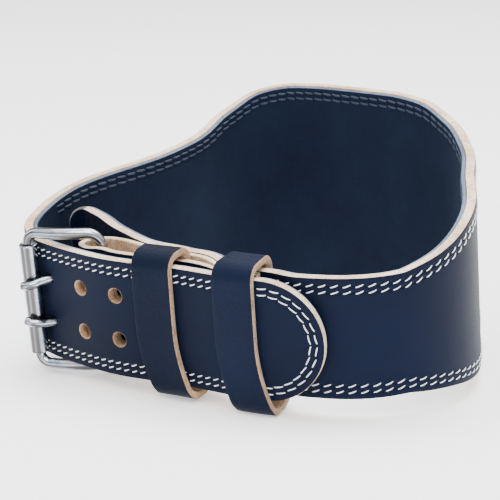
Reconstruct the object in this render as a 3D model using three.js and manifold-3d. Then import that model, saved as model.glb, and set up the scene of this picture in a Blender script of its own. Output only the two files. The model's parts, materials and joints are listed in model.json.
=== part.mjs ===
// A leather weightlifting belt, buckled into a loop and standing on its lower edges.
// Millimetres, +Z up. The buckle is at the front, -Y, and the high back at +Y.
import * as THREE from "three";
import { mergeVertices } from "three/addons/utils/BufferGeometryUtils.js";
import Module from "manifold-3d";

const wasm = await Module();
wasm.setup();

// Driving sizes of the loop and the leather strip
const LOOP_WIDTH = 232;
const LOOP_DEPTH = 205;
const STRAP_WIDTH = 63.5;
const SIDE_HEIGHT = 94.8;
const BACK_HEIGHT = 134.4;
const TONGUE_HEIGHT = 73;
const TONGUE_CORNER = 9;
const LEATHER = 4.8;
const LINING = 1.9;
const LINING_INSET = 0.8;
const CLEAR = 0.3;

// Where the heights change, measured along the strip from the middle of the back
const SHOULDER_REACH = 135;
const STRAP_REACH = 250;

// Holes, from the tip of the billet
const HOLE_DIAMETER = 7.8;
const HOLE_FIRST = 115;
const HOLE_PITCH = 23.2;
const HOLE_COLUMNS = 4;
const HOLE_ROW_GAP = 24;
const HOLE_LIFT = 0.7;
const PRONG_COLUMN = 2;

// Loops that hold the end of the billet
const KEEPER_WIDTH = 21.5;
const KEEPER_WALL = 3.6;
const KEEPER_PLAY = 3.3;
const KEEPER_EASE = 0.5;
const KEEPER_ROUND = 8.6;
const KEEPER_SKEW = 7;
const TIP_KEEPER_AT = 44.3;
const TIP_KEEPER_HANG = 1.8;
const BUCKLE_KEEPER_AT = 90.8;
const BUCKLE_KEEPER_HANG = 0.5;

// Strap that holds the buckle
const CHAPE_WALL = 3;
const CHAPE_END_WALL = 2;
const CHAPE_WIDTH = 63;
const CHAPE_SLACK = 3.4;
const CHAPE_SLOT_PLAY = 1;
const LAP_SLACK = 4;
const FOLD_EASE = 1.2;
const LAP_EASE = 22;

// Buckle
const ROLLER_DIAMETER = 9.6;
const ROLLER_BORE = 6;
const FRAME_ROD = 5.4;
const FRAME_FLAT = 6.2;
const FRAME_SIDE_PLAY = 1.7;
const FRAME_LIFT = 1.2;
const FRAME_CORNER = 8;
const ROLLER_CORNER = 6.2;
const FRAME_ARCH = 2.5;
const PRONG_DIAMETER = 4.8;
const PRONG_CLOSE = 2.5;
const BAR_AT = 136.5;
const ROLLER_AT = 170.5;

const BELT = LEATHER + CLEAR + LINING;
const STEP = 6.5;
const LAP_KNOTS = 12;

// Outer face of the strip in plan, from the tip of the billet by the buckle and the back to
// under the tip again. Columns: x as a share of the loop's width, y as a share of its depth
const PLAN = [
  { x: 0.3, y: -0.4735 },
  { x: 0.1214, y: -0.4999 },
  { x: -0.0534, y: -0.4877 },
  { x: -0.2035, y: -0.4889 },
  { x: -0.3305, y: -0.4615 },
  { x: -0.4256, y: -0.426 },
  { x: -0.4855, y: -0.3776 },
  { x: -0.4991, y: -0.2841 },
  { x: -0.4671, y: -0.1478 },
  { x: -0.3873, y: 0.0287 },
  { x: -0.3393, y: 0.2129 },
  { x: -0.2981, y: 0.3817 },
  { x: -0.1863, y: 0.4859 },
  { x: -0.0422, y: 0.4993 },
  { x: 0.1122, y: 0.4829 },
  { x: 0.2563, y: 0.4378 },
  { x: 0.3583, y: 0.3172 },
  { x: 0.4154, y: 0.1601 },
  { x: 0.4817, y: -0.0234 },
  { x: 0.4907, y: -0.2126 },
  { x: 0.4007, y: -0.3799 },
];
const BACK_KNOT = 13;

// Free end of the strip inside the loop, with the same columns
const TONGUE = [
  { x: -0.2905, y: -0.3122 },
  { x: -0.3388, y: -0.281 },
  { x: -0.3823, y: -0.2537 },
  { x: -0.4052, y: -0.2424 },
  { x: -0.4237, y: -0.2473 },
  { x: -0.4353, y: -0.2551 },
];

// Shoulders of the back. Columns: share of the shoulder's reach, share of its rise
const SHOULDER = [
  { reach: 0.25, rise: 1 },
  { reach: 0.341, rise: 0.944 },
  { reach: 0.43, rise: 0.828 },
  { reach: 0.519, rise: 0.601 },
  { reach: 0.607, rise: 0.429 },
  { reach: 0.711, rise: 0.182 },
  { reach: 0.83, rise: 0.066 },
  { reach: 1, rise: 0 },
];

// Taper of the sides, with the same two columns, from the shoulder's end to the strap
const TAPER = [
  { reach: 0, rise: 1 },
  { reach: 0.26, rise: 0.923 },
  { reach: 0.45, rise: 0.802 },
  { reach: 0.6, rise: 0.604 },
  { reach: 0.75, rise: 0.345 },
  { reach: 0.88, rise: 0.157 },
  { reach: 1, rise: 0 },
];

// Natural cubic through rising abscissae, as a function
function cubic(xs, ys) {
  const n = xs.length;
  const m = new Array(n).fill(0);
  const c = new Array(n).fill(0);
  const d = new Array(n).fill(0);
  for (let i = 1; i < n - 1; i++) {
    const a = xs[i] - xs[i - 1];
    const b = xs[i + 1] - xs[i];
    const rhs = 6 * ((ys[i + 1] - ys[i]) / b - (ys[i] - ys[i - 1]) / a);
    const w = 2 * (a + b) - a * c[i - 1];
    c[i] = b / w;
    d[i] = (rhs - a * d[i - 1]) / w;
  }
  for (let i = n - 2; i > 0; i--) {
    m[i] = d[i] - c[i] * m[i + 1];
  }
  return (x) => {
    let i = 0;
    while (i < n - 2 && x > xs[i + 1]) {
      i++;
    }
    const h = xs[i + 1] - xs[i];
    const u = (xs[i + 1] - x) / h;
    const v = (x - xs[i]) / h;
    const bend = ((u ** 3 - u) * m[i] + (v ** 3 - v) * m[i + 1]) * (h * h) / 6;
    return u * ys[i] + v * ys[i + 1] + bend;
  };
}

// Eased steps through a table of stations and values, level past both ends
function ramp(rows, x) {
  const next = rows.findIndex((row) => row[0] > x);
  if (next === 0) {
    return rows[0][1];
  }
  if (next < 0) {
    return rows[rows.length - 1][1];
  }
  const [x0, y0] = rows[next - 1];
  const [x1, y1] = rows[next];
  return y0 + (y1 - y0) * THREE.MathUtils.smoothstep(x, x0, x1);
}

// A smooth plan curve that is asked by its length: at(s, d) is the point d inside the face
class PlanCurve {
  constructor(points) {
    const chord = [0];
    for (let i = 1; i < points.length; i++) {
      chord.push(chord[i - 1] + points[i].distanceTo(points[i - 1]));
    }
    this.chord = chord;
    this.fx = cubic(chord, points.map((p) => p.x));
    this.fy = cubic(chord, points.map((p) => p.y));
    const count = Math.round(chord[chord.length - 1]);
    this.t = [0];
    this.s = [0];
    for (let i = 1; i <= count; i++) {
      const t = (chord[chord.length - 1] * i) / count;
      const before = this.t[i - 1];
      const dx = this.fx(t) - this.fx(before);
      const dy = this.fy(t) - this.fy(before);
      this.t.push(t);
      this.s.push(this.s[i - 1] + Math.hypot(dx, dy));
    }
    this.length = this.s[count];
  }

  parameter(s) {
    let low = 0;
    let high = this.s.length - 1;
    while (high - low > 1) {
      const mid = (low + high) >> 1;
      if (this.s[mid] > s) {
        high = mid;
      } else {
        low = mid;
      }
    }
    const share = (s - this.s[low]) / (this.s[high] - this.s[low]);
    return this.t[low] + share * (this.t[high] - this.t[low]);
  }

  lengthAtKnot(index) {
    const next = this.t.findIndex((t) => t >= this.chord[index]);
    return this.s[next];
  }

  inward(s) {
    const t = this.parameter(s);
    const dx = this.fx(t + 0.5) - this.fx(t - 0.5);
    const dy = this.fy(t + 0.5) - this.fy(t - 0.5);
    return new THREE.Vector2(dy, -dx).normalize();
  }

  at(s, d) {
    const t = this.parameter(s);
    return new THREE.Vector2(this.fx(t), this.fy(t)).addScaledVector(this.inward(s), d);
  }
}

// Plan of the loop alone, which gives the billet its stations
const scaled = (row) => new THREE.Vector2(row.x * LOOP_WIDTH, row.y * LOOP_DEPTH);
const billet = new PlanCurve(PLAN.map(scaled));
const backMiddle = billet.lengthAtKnot(BACK_KNOT);

// Layers behind the billet's outer face at a station: the chape's two legs and the belt
const chapeEnd = TIP_KEEPER_AT - KEEPER_WIDTH * 0.4;
const tipKeeperLeft = TIP_KEEPER_AT + KEEPER_WIDTH / 2;
const buckleKeeperRight = BUCKLE_KEEPER_AT - (KEEPER_WIDTH + KEEPER_SKEW) / 2 - 1;
const buckleKeeperLeft = BUCKLE_KEEPER_AT + KEEPER_WIDTH / 2 + 1;
const chapeWall = (s) => ramp([[tipKeeperLeft, CHAPE_END_WALL], [buckleKeeperRight, CHAPE_WALL]], s);
const frontLeg = (s) => BELT + CLEAR + ramp([[tipKeeperLeft, 0], [buckleKeeperRight, CHAPE_SLACK]], s);
const keeperLeg = (s) => frontLeg(s) + chapeWall(s) + KEEPER_EASE;
const beltLap = (s) => {
  const legs = BELT + 4 * CLEAR + 2 * CHAPE_END_WALL;
  const full = BELT + CHAPE_SLACK + 2 * CHAPE_WALL + KEEPER_WALL + 6 * CLEAR;
  const rows = [
    [chapeEnd - LAP_EASE, BELT + 3 * CLEAR],
    [chapeEnd - 2, legs],
    [tipKeeperLeft, legs],
    [buckleKeeperRight, full],
    [buckleKeeperLeft, full + LAP_SLACK],
  ];
  return ramp(rows, s);
};

// Buckle's own axes: u runs from the bar to the roller, n points away from the waist
const barDepth = frontLeg(BAR_AT) + CHAPE_WALL + CLEAR + FRAME_ROD / 2;
const barCentre = billet.at(BAR_AT, barDepth);
const rollerCentre = billet.at(ROLLER_AT, -(ROLLER_DIAMETER / 2 + CLEAR));
const buckleReach = rollerCentre.distanceTo(barCentre);
const buckleAlong = rollerCentre.clone().sub(barCentre).normalize();
const buckleOut = new THREE.Vector2(-buckleAlong.y, buckleAlong.x);
const buckle = (u, n) => barCentre.clone().addScaledVector(buckleAlong, u).addScaledVector(buckleOut, n);
const buckle3 = (u, n, z) => {
  const p = buckle(u, n);
  return new THREE.Vector3(p.x, p.y, z);
};

// Radii of the chape's fold: snug round the bar, loose round the prongs' eyes
const eyeRadius = FRAME_ROD / 2 + CLEAR + PRONG_DIAMETER / 2;
const foldSnug = FRAME_ROD / 2 + 2 * CLEAR + CHAPE_WALL / 2;
const foldLoose = eyeRadius + PRONG_DIAMETER / 2 + CLEAR + CHAPE_WALL / 2;

// The whole strip: the loop, then the lap behind the billet, then the free tongue
const lapPoints = Array.from({ length: LAP_KNOTS }, (_, i) => {
  const s = (buckleKeeperLeft * i) / (LAP_KNOTS - 1);
  return billet.at(s, beltLap(s));
});
const behindFold = buckle(-foldSnug * 1.5, -(foldLoose + CHAPE_WALL / 2 + FOLD_EASE));
const strip = new PlanCurve([...PLAN.map(scaled), ...lapPoints, behindFold, ...TONGUE.map(scaled)]);
const lapStart = strip.lengthAtKnot(PLAN.length);
const lapEnd = strip.lengthAtKnot(PLAN.length + LAP_KNOTS);

// Station of the strip that lies behind a station of the billet, and how deep it lies there
function lapStation(s) {
  const origin = billet.at(s, 0);
  const inward = billet.inward(s);
  const along = new THREE.Vector2(-inward.y, inward.x);
  let low = lapStart;
  let high = lapEnd;
  for (let i = 0; i < 30; i++) {
    const mid = (low + high) / 2;
    if (strip.at(mid, 0).sub(origin).dot(along) < 0) {
      low = mid;
    } else {
      high = mid;
    }
  }
  return low;
}
const lapDepth = (s) => strip.at(lapStation(s), 0).distanceTo(billet.at(s, 0));

// Half of the strip's height at a station, round ends included
const shoulderRise = cubic(SHOULDER.map((row) => row.reach), SHOULDER.map((row) => row.rise));
const taperRise = cubic(TAPER.map((row) => row.reach), TAPER.map((row) => row.rise));
function bodyHalfHeight(s) {
  const u = Math.abs(s - backMiddle);
  if (u < SHOULDER[0].reach * SHOULDER_REACH) {
    return BACK_HEIGHT / 2;
  }
  if (u < SHOULDER_REACH) {
    return (SIDE_HEIGHT + (BACK_HEIGHT - SIDE_HEIGHT) * shoulderRise(u / SHOULDER_REACH)) / 2;
  }
  const along = (u - SHOULDER_REACH) / (STRAP_REACH - SHOULDER_REACH);
  if (along < 1) {
    return (STRAP_WIDTH + (SIDE_HEIGHT - STRAP_WIDTH) * taperRise(along)) / 2;
  }
  return STRAP_WIDTH / 2;
}
function halfHeight(s) {
  const fromEnd = Math.min(s, strip.length - s);
  const widening = TONGUE_HEIGHT - STRAP_WIDTH;
  const tongue = THREE.MathUtils.smoothstep(s, lapEnd - KEEPER_WIDTH, strip.length - 2 * TONGUE_CORNER);
  const full = bodyHalfHeight(s) + (widening * tongue) / 2;
  const round = s < lapStart ? full : TONGUE_CORNER;
  if (fromEnd >= round) {
    return full;
  }
  return full - round + Math.sqrt(round * round - (round - fromEnd) ** 2);
}

// Closed body through rings of points that all have the same count
function loft(rings) {
  const count = rings[0].length;
  const positions = rings.flat().flatMap((p) => [p.x, p.y, p.z]);
  const index = [];
  for (let i = 0; i + 1 < rings.length; i++) {
    for (let j = 0; j < count; j++) {
      const k = (j + 1) % count;
      const a = i * count + j;
      const b = i * count + k;
      index.push(a, b, b + count, a, b + count, a + count);
    }
  }
  const last = (rings.length - 1) * count;
  for (let j = 1; j + 1 < count; j++) {
    index.push(0, j + 1, j);
    index.push(last, last + j, last + j + 1);
  }
  const geometry = new THREE.BufferGeometry();
  geometry.setAttribute("position", new THREE.Float32BufferAttribute(positions, 3));
  geometry.setIndex(index);
  return geometry;
}

// Closed ring-shaped body through rings of points, the last joined to the first
function loopLoft(rings) {
  const count = rings[0].length;
  const positions = rings.flat().flatMap((p) => [p.x, p.y, p.z]);
  const index = [];
  for (let i = 0; i < rings.length; i++) {
    const here = i * count;
    const next = ((i + 1) % rings.length) * count;
    for (let j = 0; j < count; j++) {
      const k = (j + 1) % count;
      index.push(here + j, here + k, next + k, here + j, next + k, next + j);
    }
  }
  const geometry = new THREE.BufferGeometry();
  geometry.setAttribute("position", new THREE.Float32BufferAttribute(positions, 3));
  geometry.setIndex(index);
  return geometry;
}

// Joining and cutting
function solid(geometry) {
  const bare = geometry.clone();
  bare.deleteAttribute("normal");
  bare.deleteAttribute("uv");
  const merged = mergeVertices(bare, 1e-4);
  const made = new wasm.Manifold(new wasm.Mesh({
    numProp: 3,
    vertProperties: new Float32Array(merged.attributes.position.array),
    triVerts: new Uint32Array(merged.index.array),
  }));
  return made;
}
function cut(geometry, tools) {
  let body = solid(geometry);
  for (const tool of tools) {
    body = body.subtract(solid(tool));
  }
  const mesh = body.getMesh();
  const result = new THREE.BufferGeometry();
  result.setAttribute("position", new THREE.Float32BufferAttribute(mesh.vertProperties, 3));
  result.setIndex([...mesh.triVerts]);
  return result;
}

// Stations along the strip, close together round both ends
function stations(inset) {
  const list = [];
  const arcSteps = 8;
  const turned = (radius, i) => {
    return inset + radius * (1 - Math.cos((Math.PI / 2) * (i / arcSteps) ** 1.2));
  };
  for (let i = 1; i <= arcSteps; i++) {
    list.push(turned(STRAP_WIDTH / 2, i));
  }
  const start = LINING_INSET + STRAP_WIDTH / 2;
  const end = strip.length - LINING_INSET - TONGUE_CORNER;
  const steps = Math.round((end - start) / STEP);
  for (let i = 1; i < steps; i++) {
    list.push(start + ((end - start) * i) / steps);
  }
  for (let i = arcSteps; i > 0; i--) {
    list.push(strip.length - turned(TONGUE_CORNER, i));
  }
  return list;
}

// A band of the strip between two depths, with its edges drawn in
function band(near, far, inset) {
  const rings = stations(inset).map((s) => {
    const outer = strip.at(s, near);
    const inner = strip.at(s, far);
    const half = halfHeight(s) - inset;
    return [
      new THREE.Vector3(outer.x, outer.y, -half),
      new THREE.Vector3(inner.x, inner.y, -half),
      new THREE.Vector3(inner.x, inner.y, half),
      new THREE.Vector3(outer.x, outer.y, half),
    ];
  });
  return loft(rings);
}

// Round tube along points, as an extruded circle
function rod(points, diameter, sides, steps) {
  const circle = new THREE.Shape();
  for (let i = 0; i < sides; i++) {
    const angle = (i / sides) * Math.PI * 2;
    const x = (Math.cos(angle) * diameter) / 2;
    const y = (Math.sin(angle) * diameter) / 2;
    if (i === 0) {
      circle.moveTo(x, y);
    } else {
      circle.lineTo(x, y);
    }
  }
  const path = new THREE.CatmullRomCurve3(points, false, "centripetal");
  return new THREE.ExtrudeGeometry(circle, { steps, bevelEnabled: false, extrudePath: path });
}

// Prong: an open eye round the bar, through the billet's hole, bent over the roller
const holeAt = HOLE_FIRST + HOLE_PITCH * PRONG_COLUMN;
function prongPoints(side) {
  const row = (side * HOLE_ROW_GAP) / 2 + HOLE_LIFT;
  const end = side * (HOLE_ROW_GAP / 2 - PRONG_CLOSE) + HOLE_LIFT;
  const points = [];
  const eyeStart = 5;
  const eyeEnd = 270;
  const eyeSteps = 9;
  for (let i = 0; i <= eyeSteps; i++) {
    const angle = THREE.MathUtils.degToRad(eyeStart + ((eyeEnd - eyeStart) * i) / eyeSteps);
    points.push(buckle3(eyeRadius * Math.cos(angle), eyeRadius * Math.sin(angle), row));
  }
  for (const depth of [BELT + CLEAR, BELT / 2, 0]) {
    const p = billet.at(holeAt, depth);
    points.push(new THREE.Vector3(p.x, p.y, row));
  }
  const over = ROLLER_DIAMETER / 2 + 1.5 * CLEAR + PRONG_DIAMETER / 2;
  for (const degrees of [142, 115, 90, 62]) {
    const angle = THREE.MathUtils.degToRad(degrees);
    const z = row + (end - row) * (1 - (degrees - 62) / 100);
    points.push(buckle3(buckleReach + over * Math.cos(angle), over * Math.sin(angle), z));
  }
  return points;
}
const PRONG_SIDES = 10;
const PRONG_STEPS = 34;
const prong = (side) => rod(prongPoints(side), PRONG_DIAMETER, PRONG_SIDES, PRONG_STEPS);

// Frame: a rounded rectangle of bent rod that bulges away from the waist between its bars
const frameHalf = STRAP_WIDTH / 2 + FRAME_SIDE_PLAY + FRAME_FLAT / 2;
function frame() {
  const bar = FRAME_CORNER;
  const front = ROLLER_CORNER;
  const centres = [
    { u: buckleReach - front, z: frameHalf - front, from: 0, r: front },
    { u: bar, z: frameHalf - bar, from: 90, r: bar },
    { u: bar, z: bar - frameHalf, from: 180, r: bar },
    { u: buckleReach - front, z: front - frameHalf, from: 270, r: front },
  ];
  const route = [];
  const cornerSteps = 5;
  const armSteps = 4;
  for (const [index, c] of centres.entries()) {
    for (let i = 0; i <= cornerSteps; i++) {
      const angle = THREE.MathUtils.degToRad(c.from + (90 * i) / cornerSteps);
      route.push([c.u + c.r * Math.cos(angle), c.z + c.r * Math.sin(angle)]);
    }
    const next = centres[(index + 1) % 4];
    if (next.z * c.z > 0) {
      for (let i = 1; i < armSteps; i++) {
        const from = c.u;
        const to = next.u;
        route.push([from + ((to - from) * i) / armSteps, Math.sign(c.z) * frameHalf]);
      }
    }
  }
  const sides = 10;
  const rings = route.map(([u, z], i) => {
    const before = route[(i + route.length - 1) % route.length];
    const after = route[(i + 1) % route.length];
    const along = new THREE.Vector2(after[0] - before[0], after[1] - before[1]).normalize();
    const share = THREE.MathUtils.clamp(u / buckleReach, 0, 1);
    const arch = FRAME_ARCH * Math.sin(Math.PI * share);
    const thick = FRAME_ROD / 2;
    const wide = thick + ((FRAME_FLAT - FRAME_ROD) / 2) * Math.sin(Math.PI * share);
    return Array.from({ length: sides }, (_, k) => {
      const angle = (k / sides) * Math.PI * 2;
      const side = wide * Math.cos(angle);
      return buckle3(u + along.y * side, arch + thick * Math.sin(angle), z - along.x * side + FRAME_LIFT);
    });
  });
  return loopLoft(rings);
}

// Roller: a short tube round the frame's front bar
function roller() {
  const half = frameHalf - ROLLER_CORNER - CLEAR;
  const lip = 0.5;
  const profile = [
    new THREE.Vector2(ROLLER_BORE / 2, -half),
    new THREE.Vector2(ROLLER_DIAMETER / 2 - lip, -half),
    new THREE.Vector2(ROLLER_DIAMETER / 2, lip - half),
    new THREE.Vector2(ROLLER_DIAMETER / 2, half - lip),
    new THREE.Vector2(ROLLER_DIAMETER / 2 - lip, half),
    new THREE.Vector2(ROLLER_BORE / 2, half),
    new THREE.Vector2(ROLLER_BORE / 2, -half),
  ];
  return new THREE.LatheGeometry(profile, 18);
}

// Chape: from the tip-side keeper round the bar and back, one folded strap
function chapeRoute() {
  const legKnots = 10;
  const legs = Array.from({ length: legKnots }, (_, i) => {
    return chapeEnd + ((buckleKeeperLeft - chapeEnd) * i) / (legKnots - 1);
  });
  const toBar = [(2 * buckleKeeperLeft + BAR_AT) / 3, (buckleKeeperLeft + 2 * BAR_AT) / 3];
  const front = [...legs, ...toBar].map((s) => ({
    p: billet.at(s, frontLeg(s) + chapeWall(s) / 2),
    w: chapeWall(s),
  }));
  const back = [...legs, (3 * buckleKeeperLeft + BAR_AT) / 4].map((s) => ({
    p: strip.at(lapStation(s), -CLEAR - chapeWall(s) / 2),
    w: chapeWall(s),
  })).reverse();
  const fold = [
    buckle(0, foldSnug),
    buckle(foldSnug * 1.5, foldSnug * 0.75),
    buckle(foldLoose * 1.2, -foldSnug * 0.55),
    buckle(foldSnug * 1.3, -foldLoose * 0.88),
    buckle(-foldSnug * 0.2, -foldLoose),
  ].map((p) => ({ p, w: CHAPE_WALL }));
  return [...front, ...fold, ...back];
}
function chape() {
  const route = chapeRoute();
  const curve = new PlanCurve(route.map((row) => row.p));
  const walls = cubic(curve.chord, route.map((row) => row.w));
  const steps = Math.round(curve.length / 3.6);
  const half = CHAPE_WIDTH / 2;
  const rings = Array.from({ length: steps + 1 }, (_, i) => {
    const s = (curve.length * i) / steps;
    const wall = walls(curve.parameter(s));
    const outer = curve.at(s, -wall / 2);
    const inner = curve.at(s, wall / 2);
    return [
      new THREE.Vector3(outer.x, outer.y, -half),
      new THREE.Vector3(inner.x, inner.y, -half),
      new THREE.Vector3(inner.x, inner.y, half),
      new THREE.Vector3(outer.x, outer.y, half),
    ];
  });
  const slots = [1, -1].map((side) => slot((side * HOLE_ROW_GAP) / 2 + HOLE_LIFT));
  return cut(turnedOut(loft(rings)), slots);
}

// Slot in the fold that lets a prong swing
function slot(z) {
  const high = PRONG_DIAMETER / 2 + CHAPE_SLOT_PLAY;
  const reach = eyeRadius + PRONG_DIAMETER / 2 + CLEAR;
  const corners = [
    buckle(-reach, reach * 1.6),
    buckle(reach * 2.1, reach * 1.6),
    buckle(reach * 2.1, -reach),
    buckle(-reach, -reach),
  ];
  const lower = corners.map((p) => new THREE.Vector3(p.x, p.y, z - high));
  const upper = corners.map((p) => new THREE.Vector3(p.x, p.y, z + high));
  return turnedOut(loft([lower, upper]));
}

// Gives a body outward faces whatever way its rings went round
function turnedOut(geometry) {
  const p = geometry.attributes.position;
  const index = geometry.index.array;
  const [a, b, c] = [0, 1, 2].map(() => new THREE.Vector3());
  let volume = 0;
  for (let i = 0; i < index.length; i += 3) {
    a.fromBufferAttribute(p, index[i]);
    b.fromBufferAttribute(p, index[i + 1]);
    c.fromBufferAttribute(p, index[i + 2]);
    volume += a.dot(b.cross(c));
  }
  if (volume < 0) {
    for (let i = 0; i < index.length; i += 3) {
      [index[i], index[i + 1]] = [index[i + 1], index[i]];
    }
  }
  return geometry;
}

// Keeper: a ring of leather that follows the strap for its width
function keeper(centre, hang, farDepth) {
  const top = STRAP_WIDTH / 2 + KEEPER_PLAY;
  const bottom = -top - hang;
  const contour = (s, grow, round) => {
    const near = -KEEPER_EASE - grow;
    const high = top + grow - round;
    const low = bottom - grow + round;
    const shape = [];
    const arc = 4;
    const sideSteps = 6;
    const place = (z, depth) => {
      const skew = KEEPER_SKEW * THREE.MathUtils.clamp(z / bottom, 0, 1) ** 2;
      const at = s - skew;
      const p = billet.at(at, depth(farDepth(at) + grow));
      shape.push(new THREE.Vector3(p.x, p.y, z));
    };
    const cornersAt = [
      { behind: true, z: high, from: 0 },
      { behind: false, z: high, from: 90 },
      { behind: false, z: low, from: 180 },
      { behind: true, z: low, from: 270 },
    ];
    for (const c of cornersAt) {
      for (let i = 0; i <= arc; i++) {
        const angle = THREE.MathUtils.degToRad(c.from + (90 * i) / arc);
        const turn = round * Math.cos(angle);
        place(c.z + round * Math.sin(angle), (far) => (c.behind ? far - round : near + round) + turn);
      }
      const next = c.z > 0 ? low : high;
      for (let i = 1; i < sideSteps && c.from !== 0 && c.from !== 180; i++) {
        const z = c.z + ((next - c.z) * i) / sideSteps;
        place(z, (far) => (c.behind ? far : near));
      }
    }
    return shape;
  };
  const steps = 4;
  const across = Array.from({ length: steps + 1 }, (_, i) => {
    return centre + (KEEPER_WIDTH / 2) * ((2 * i) / steps - 1);
  });
  const outside = across.map((s) => contour(s, KEEPER_WALL, KEEPER_ROUND));
  const inside = across.map((s) => contour(s, 0, KEEPER_ROUND - KEEPER_WALL)).reverse();
  const lines = [...outside, ...inside];
  return turnedOut(loopLoft(outside[0].map((_, k) => lines.map((line) => line[k]))));
}

// Holes through the billet, and the way that each prong takes
function holeTools() {
  const tools = [];
  const free = [...Array(HOLE_COLUMNS).keys()].filter((column) => column !== PRONG_COLUMN);
  for (const column of free) {
    const s = HOLE_FIRST + HOLE_PITCH * column;
    for (const side of [1, -1]) {
      const centre = billet.at(s, BELT / 2);
      const inward = billet.inward(s);
      const drill = new THREE.CylinderGeometry(HOLE_DIAMETER / 2, HOLE_DIAMETER / 2, BELT * 2, 16);
      const turn = new THREE.Quaternion().setFromUnitVectors(
        new THREE.Vector3(0, 1, 0),
        new THREE.Vector3(inward.x, inward.y, 0),
      );
      drill.applyQuaternion(turn);
      drill.translate(centre.x, centre.y, (side * HOLE_ROW_GAP) / 2 + HOLE_LIFT);
      tools.push(drill);
    }
  }
  for (const side of [1, -1]) {
    tools.push(rod(prongPoints(side), PRONG_DIAMETER + 3 * CLEAR, PRONG_SIDES, PRONG_STEPS));
  }
  return tools;
}

// Finishes
const finish = (color, roughness, metalness) => {
  return new THREE.MeshStandardMaterial({ color, roughness, metalness });
};
const navyLeather = finish(0x1d3558, 0.5, 0);
const navySuede = finish(0x14243f, 0.95, 0);
const keeperLeather = finish(0x1b3153, 0.6, 0);
const nickel = finish(0xc9ccd1, 0.2, 1);

// The pieces
const belt = new THREE.Group();
function add(name, geometry, material) {
  const mesh = new THREE.Mesh(geometry, material);
  mesh.name = name;
  belt.add(mesh);
  return mesh;
}
add("belt_leather", cut(turnedOut(band(0, LEATHER, 0)), holeTools()), navyLeather);
add("belt_lining", cut(turnedOut(band(LEATHER + CLEAR, BELT, LINING_INSET)), holeTools()), navySuede);
add("chape", chape(), keeperLeather);
const buckleKeeper = keeper(BUCKLE_KEEPER_AT, BUCKLE_KEEPER_HANG, keeperLeg);
const tipKeeper = keeper(TIP_KEEPER_AT, TIP_KEEPER_HANG, (s) => lapDepth(s) + BELT + KEEPER_EASE);
add("keeper_buckle_side", buckleKeeper, keeperLeather);
add("keeper_tip_side", tipKeeper, keeperLeather);
add("buckle_frame", turnedOut(frame()), nickel);
const rollerMesh = add("buckle_roller", roller(), nickel);
rollerMesh.rotation.x = Math.PI / 2;
rollerMesh.position.set(rollerCentre.x, rollerCentre.y, FRAME_LIFT);
add("prong_upper", prong(1), nickel);
add("prong_lower", prong(-1), nickel);

// The loop leans until its lowest point in front and its lowest point behind are level
belt.updateMatrixWorld(true);
function lowest(lean, front) {
  const turn = new THREE.Matrix4().makeRotationX(lean);
  const point = new THREE.Vector3();
  let low = Infinity;
  for (const mesh of belt.children) {
    const positions = mesh.geometry.attributes.position;
    for (let i = 0; i < positions.count; i++) {
      point.fromBufferAttribute(positions, i).applyMatrix4(mesh.matrix);
      if (point.y < 0 === front) {
        low = Math.min(low, point.applyMatrix4(turn).z);
      }
    }
  }
  return low;
}
let lean = 0;
let span = THREE.MathUtils.degToRad(20);
for (let i = 0; i < 30; i++) {
  lean += lowest(lean, false) < lowest(lean, true) ? span : -span;
  span /= 2;
}
const standing = new THREE.Group();
belt.rotation.x = lean;
standing.add(belt);
standing.updateMatrixWorld(true);
const box = new THREE.Box3().setFromObject(standing, true);
standing.position.set(-(box.min.x + box.max.x) / 2, -(box.min.y + box.max.y) / 2, -box.min.z);

export default standing;
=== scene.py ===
# %% [markdown]
# # A leather lifting belt, dressed for its picture
# The belt is one thick strip of navy leather with natural tan edges, lined with suede. It is
# buckled into a loop and stands on its lower edges. The solids that come with it have the right
# sizes but flat, faceted faces, so each one is rebuilt here with round edges, real stitches and
# its own finish. Everything is in metres and in the frame of the solids.

# %% Load the solids
import bpy
import bmesh
import json
import math
import numpy as np
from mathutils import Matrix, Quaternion, Vector

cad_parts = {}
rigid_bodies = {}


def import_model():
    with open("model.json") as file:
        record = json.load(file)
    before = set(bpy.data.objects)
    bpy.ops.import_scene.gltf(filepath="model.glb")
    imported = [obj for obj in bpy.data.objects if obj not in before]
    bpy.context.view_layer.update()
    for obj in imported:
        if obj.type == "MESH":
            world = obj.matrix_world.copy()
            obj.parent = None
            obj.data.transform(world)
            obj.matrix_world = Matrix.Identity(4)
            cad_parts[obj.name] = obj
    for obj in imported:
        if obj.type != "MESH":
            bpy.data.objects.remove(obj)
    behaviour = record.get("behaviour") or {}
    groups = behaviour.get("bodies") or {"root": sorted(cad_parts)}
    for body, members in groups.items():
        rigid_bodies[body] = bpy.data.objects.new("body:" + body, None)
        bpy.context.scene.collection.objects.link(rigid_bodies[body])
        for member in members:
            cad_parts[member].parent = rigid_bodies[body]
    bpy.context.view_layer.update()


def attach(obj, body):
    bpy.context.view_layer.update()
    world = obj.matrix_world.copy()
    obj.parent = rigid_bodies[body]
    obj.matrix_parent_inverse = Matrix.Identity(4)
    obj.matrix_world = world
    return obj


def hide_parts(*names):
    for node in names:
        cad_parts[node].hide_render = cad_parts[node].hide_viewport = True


for leftover in list(bpy.data.objects):
    bpy.data.objects.remove(leftover)
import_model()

# %% [markdown]
# ## The camera
# The photo was taken from a little to the right of the buckle's side and a little above. A long
# lens from about a metre away keeps the near and the far side of the belt almost the same size.
# The camera's place, aim, roll and lens were fitted to the photo together with the belt's plan.

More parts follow.
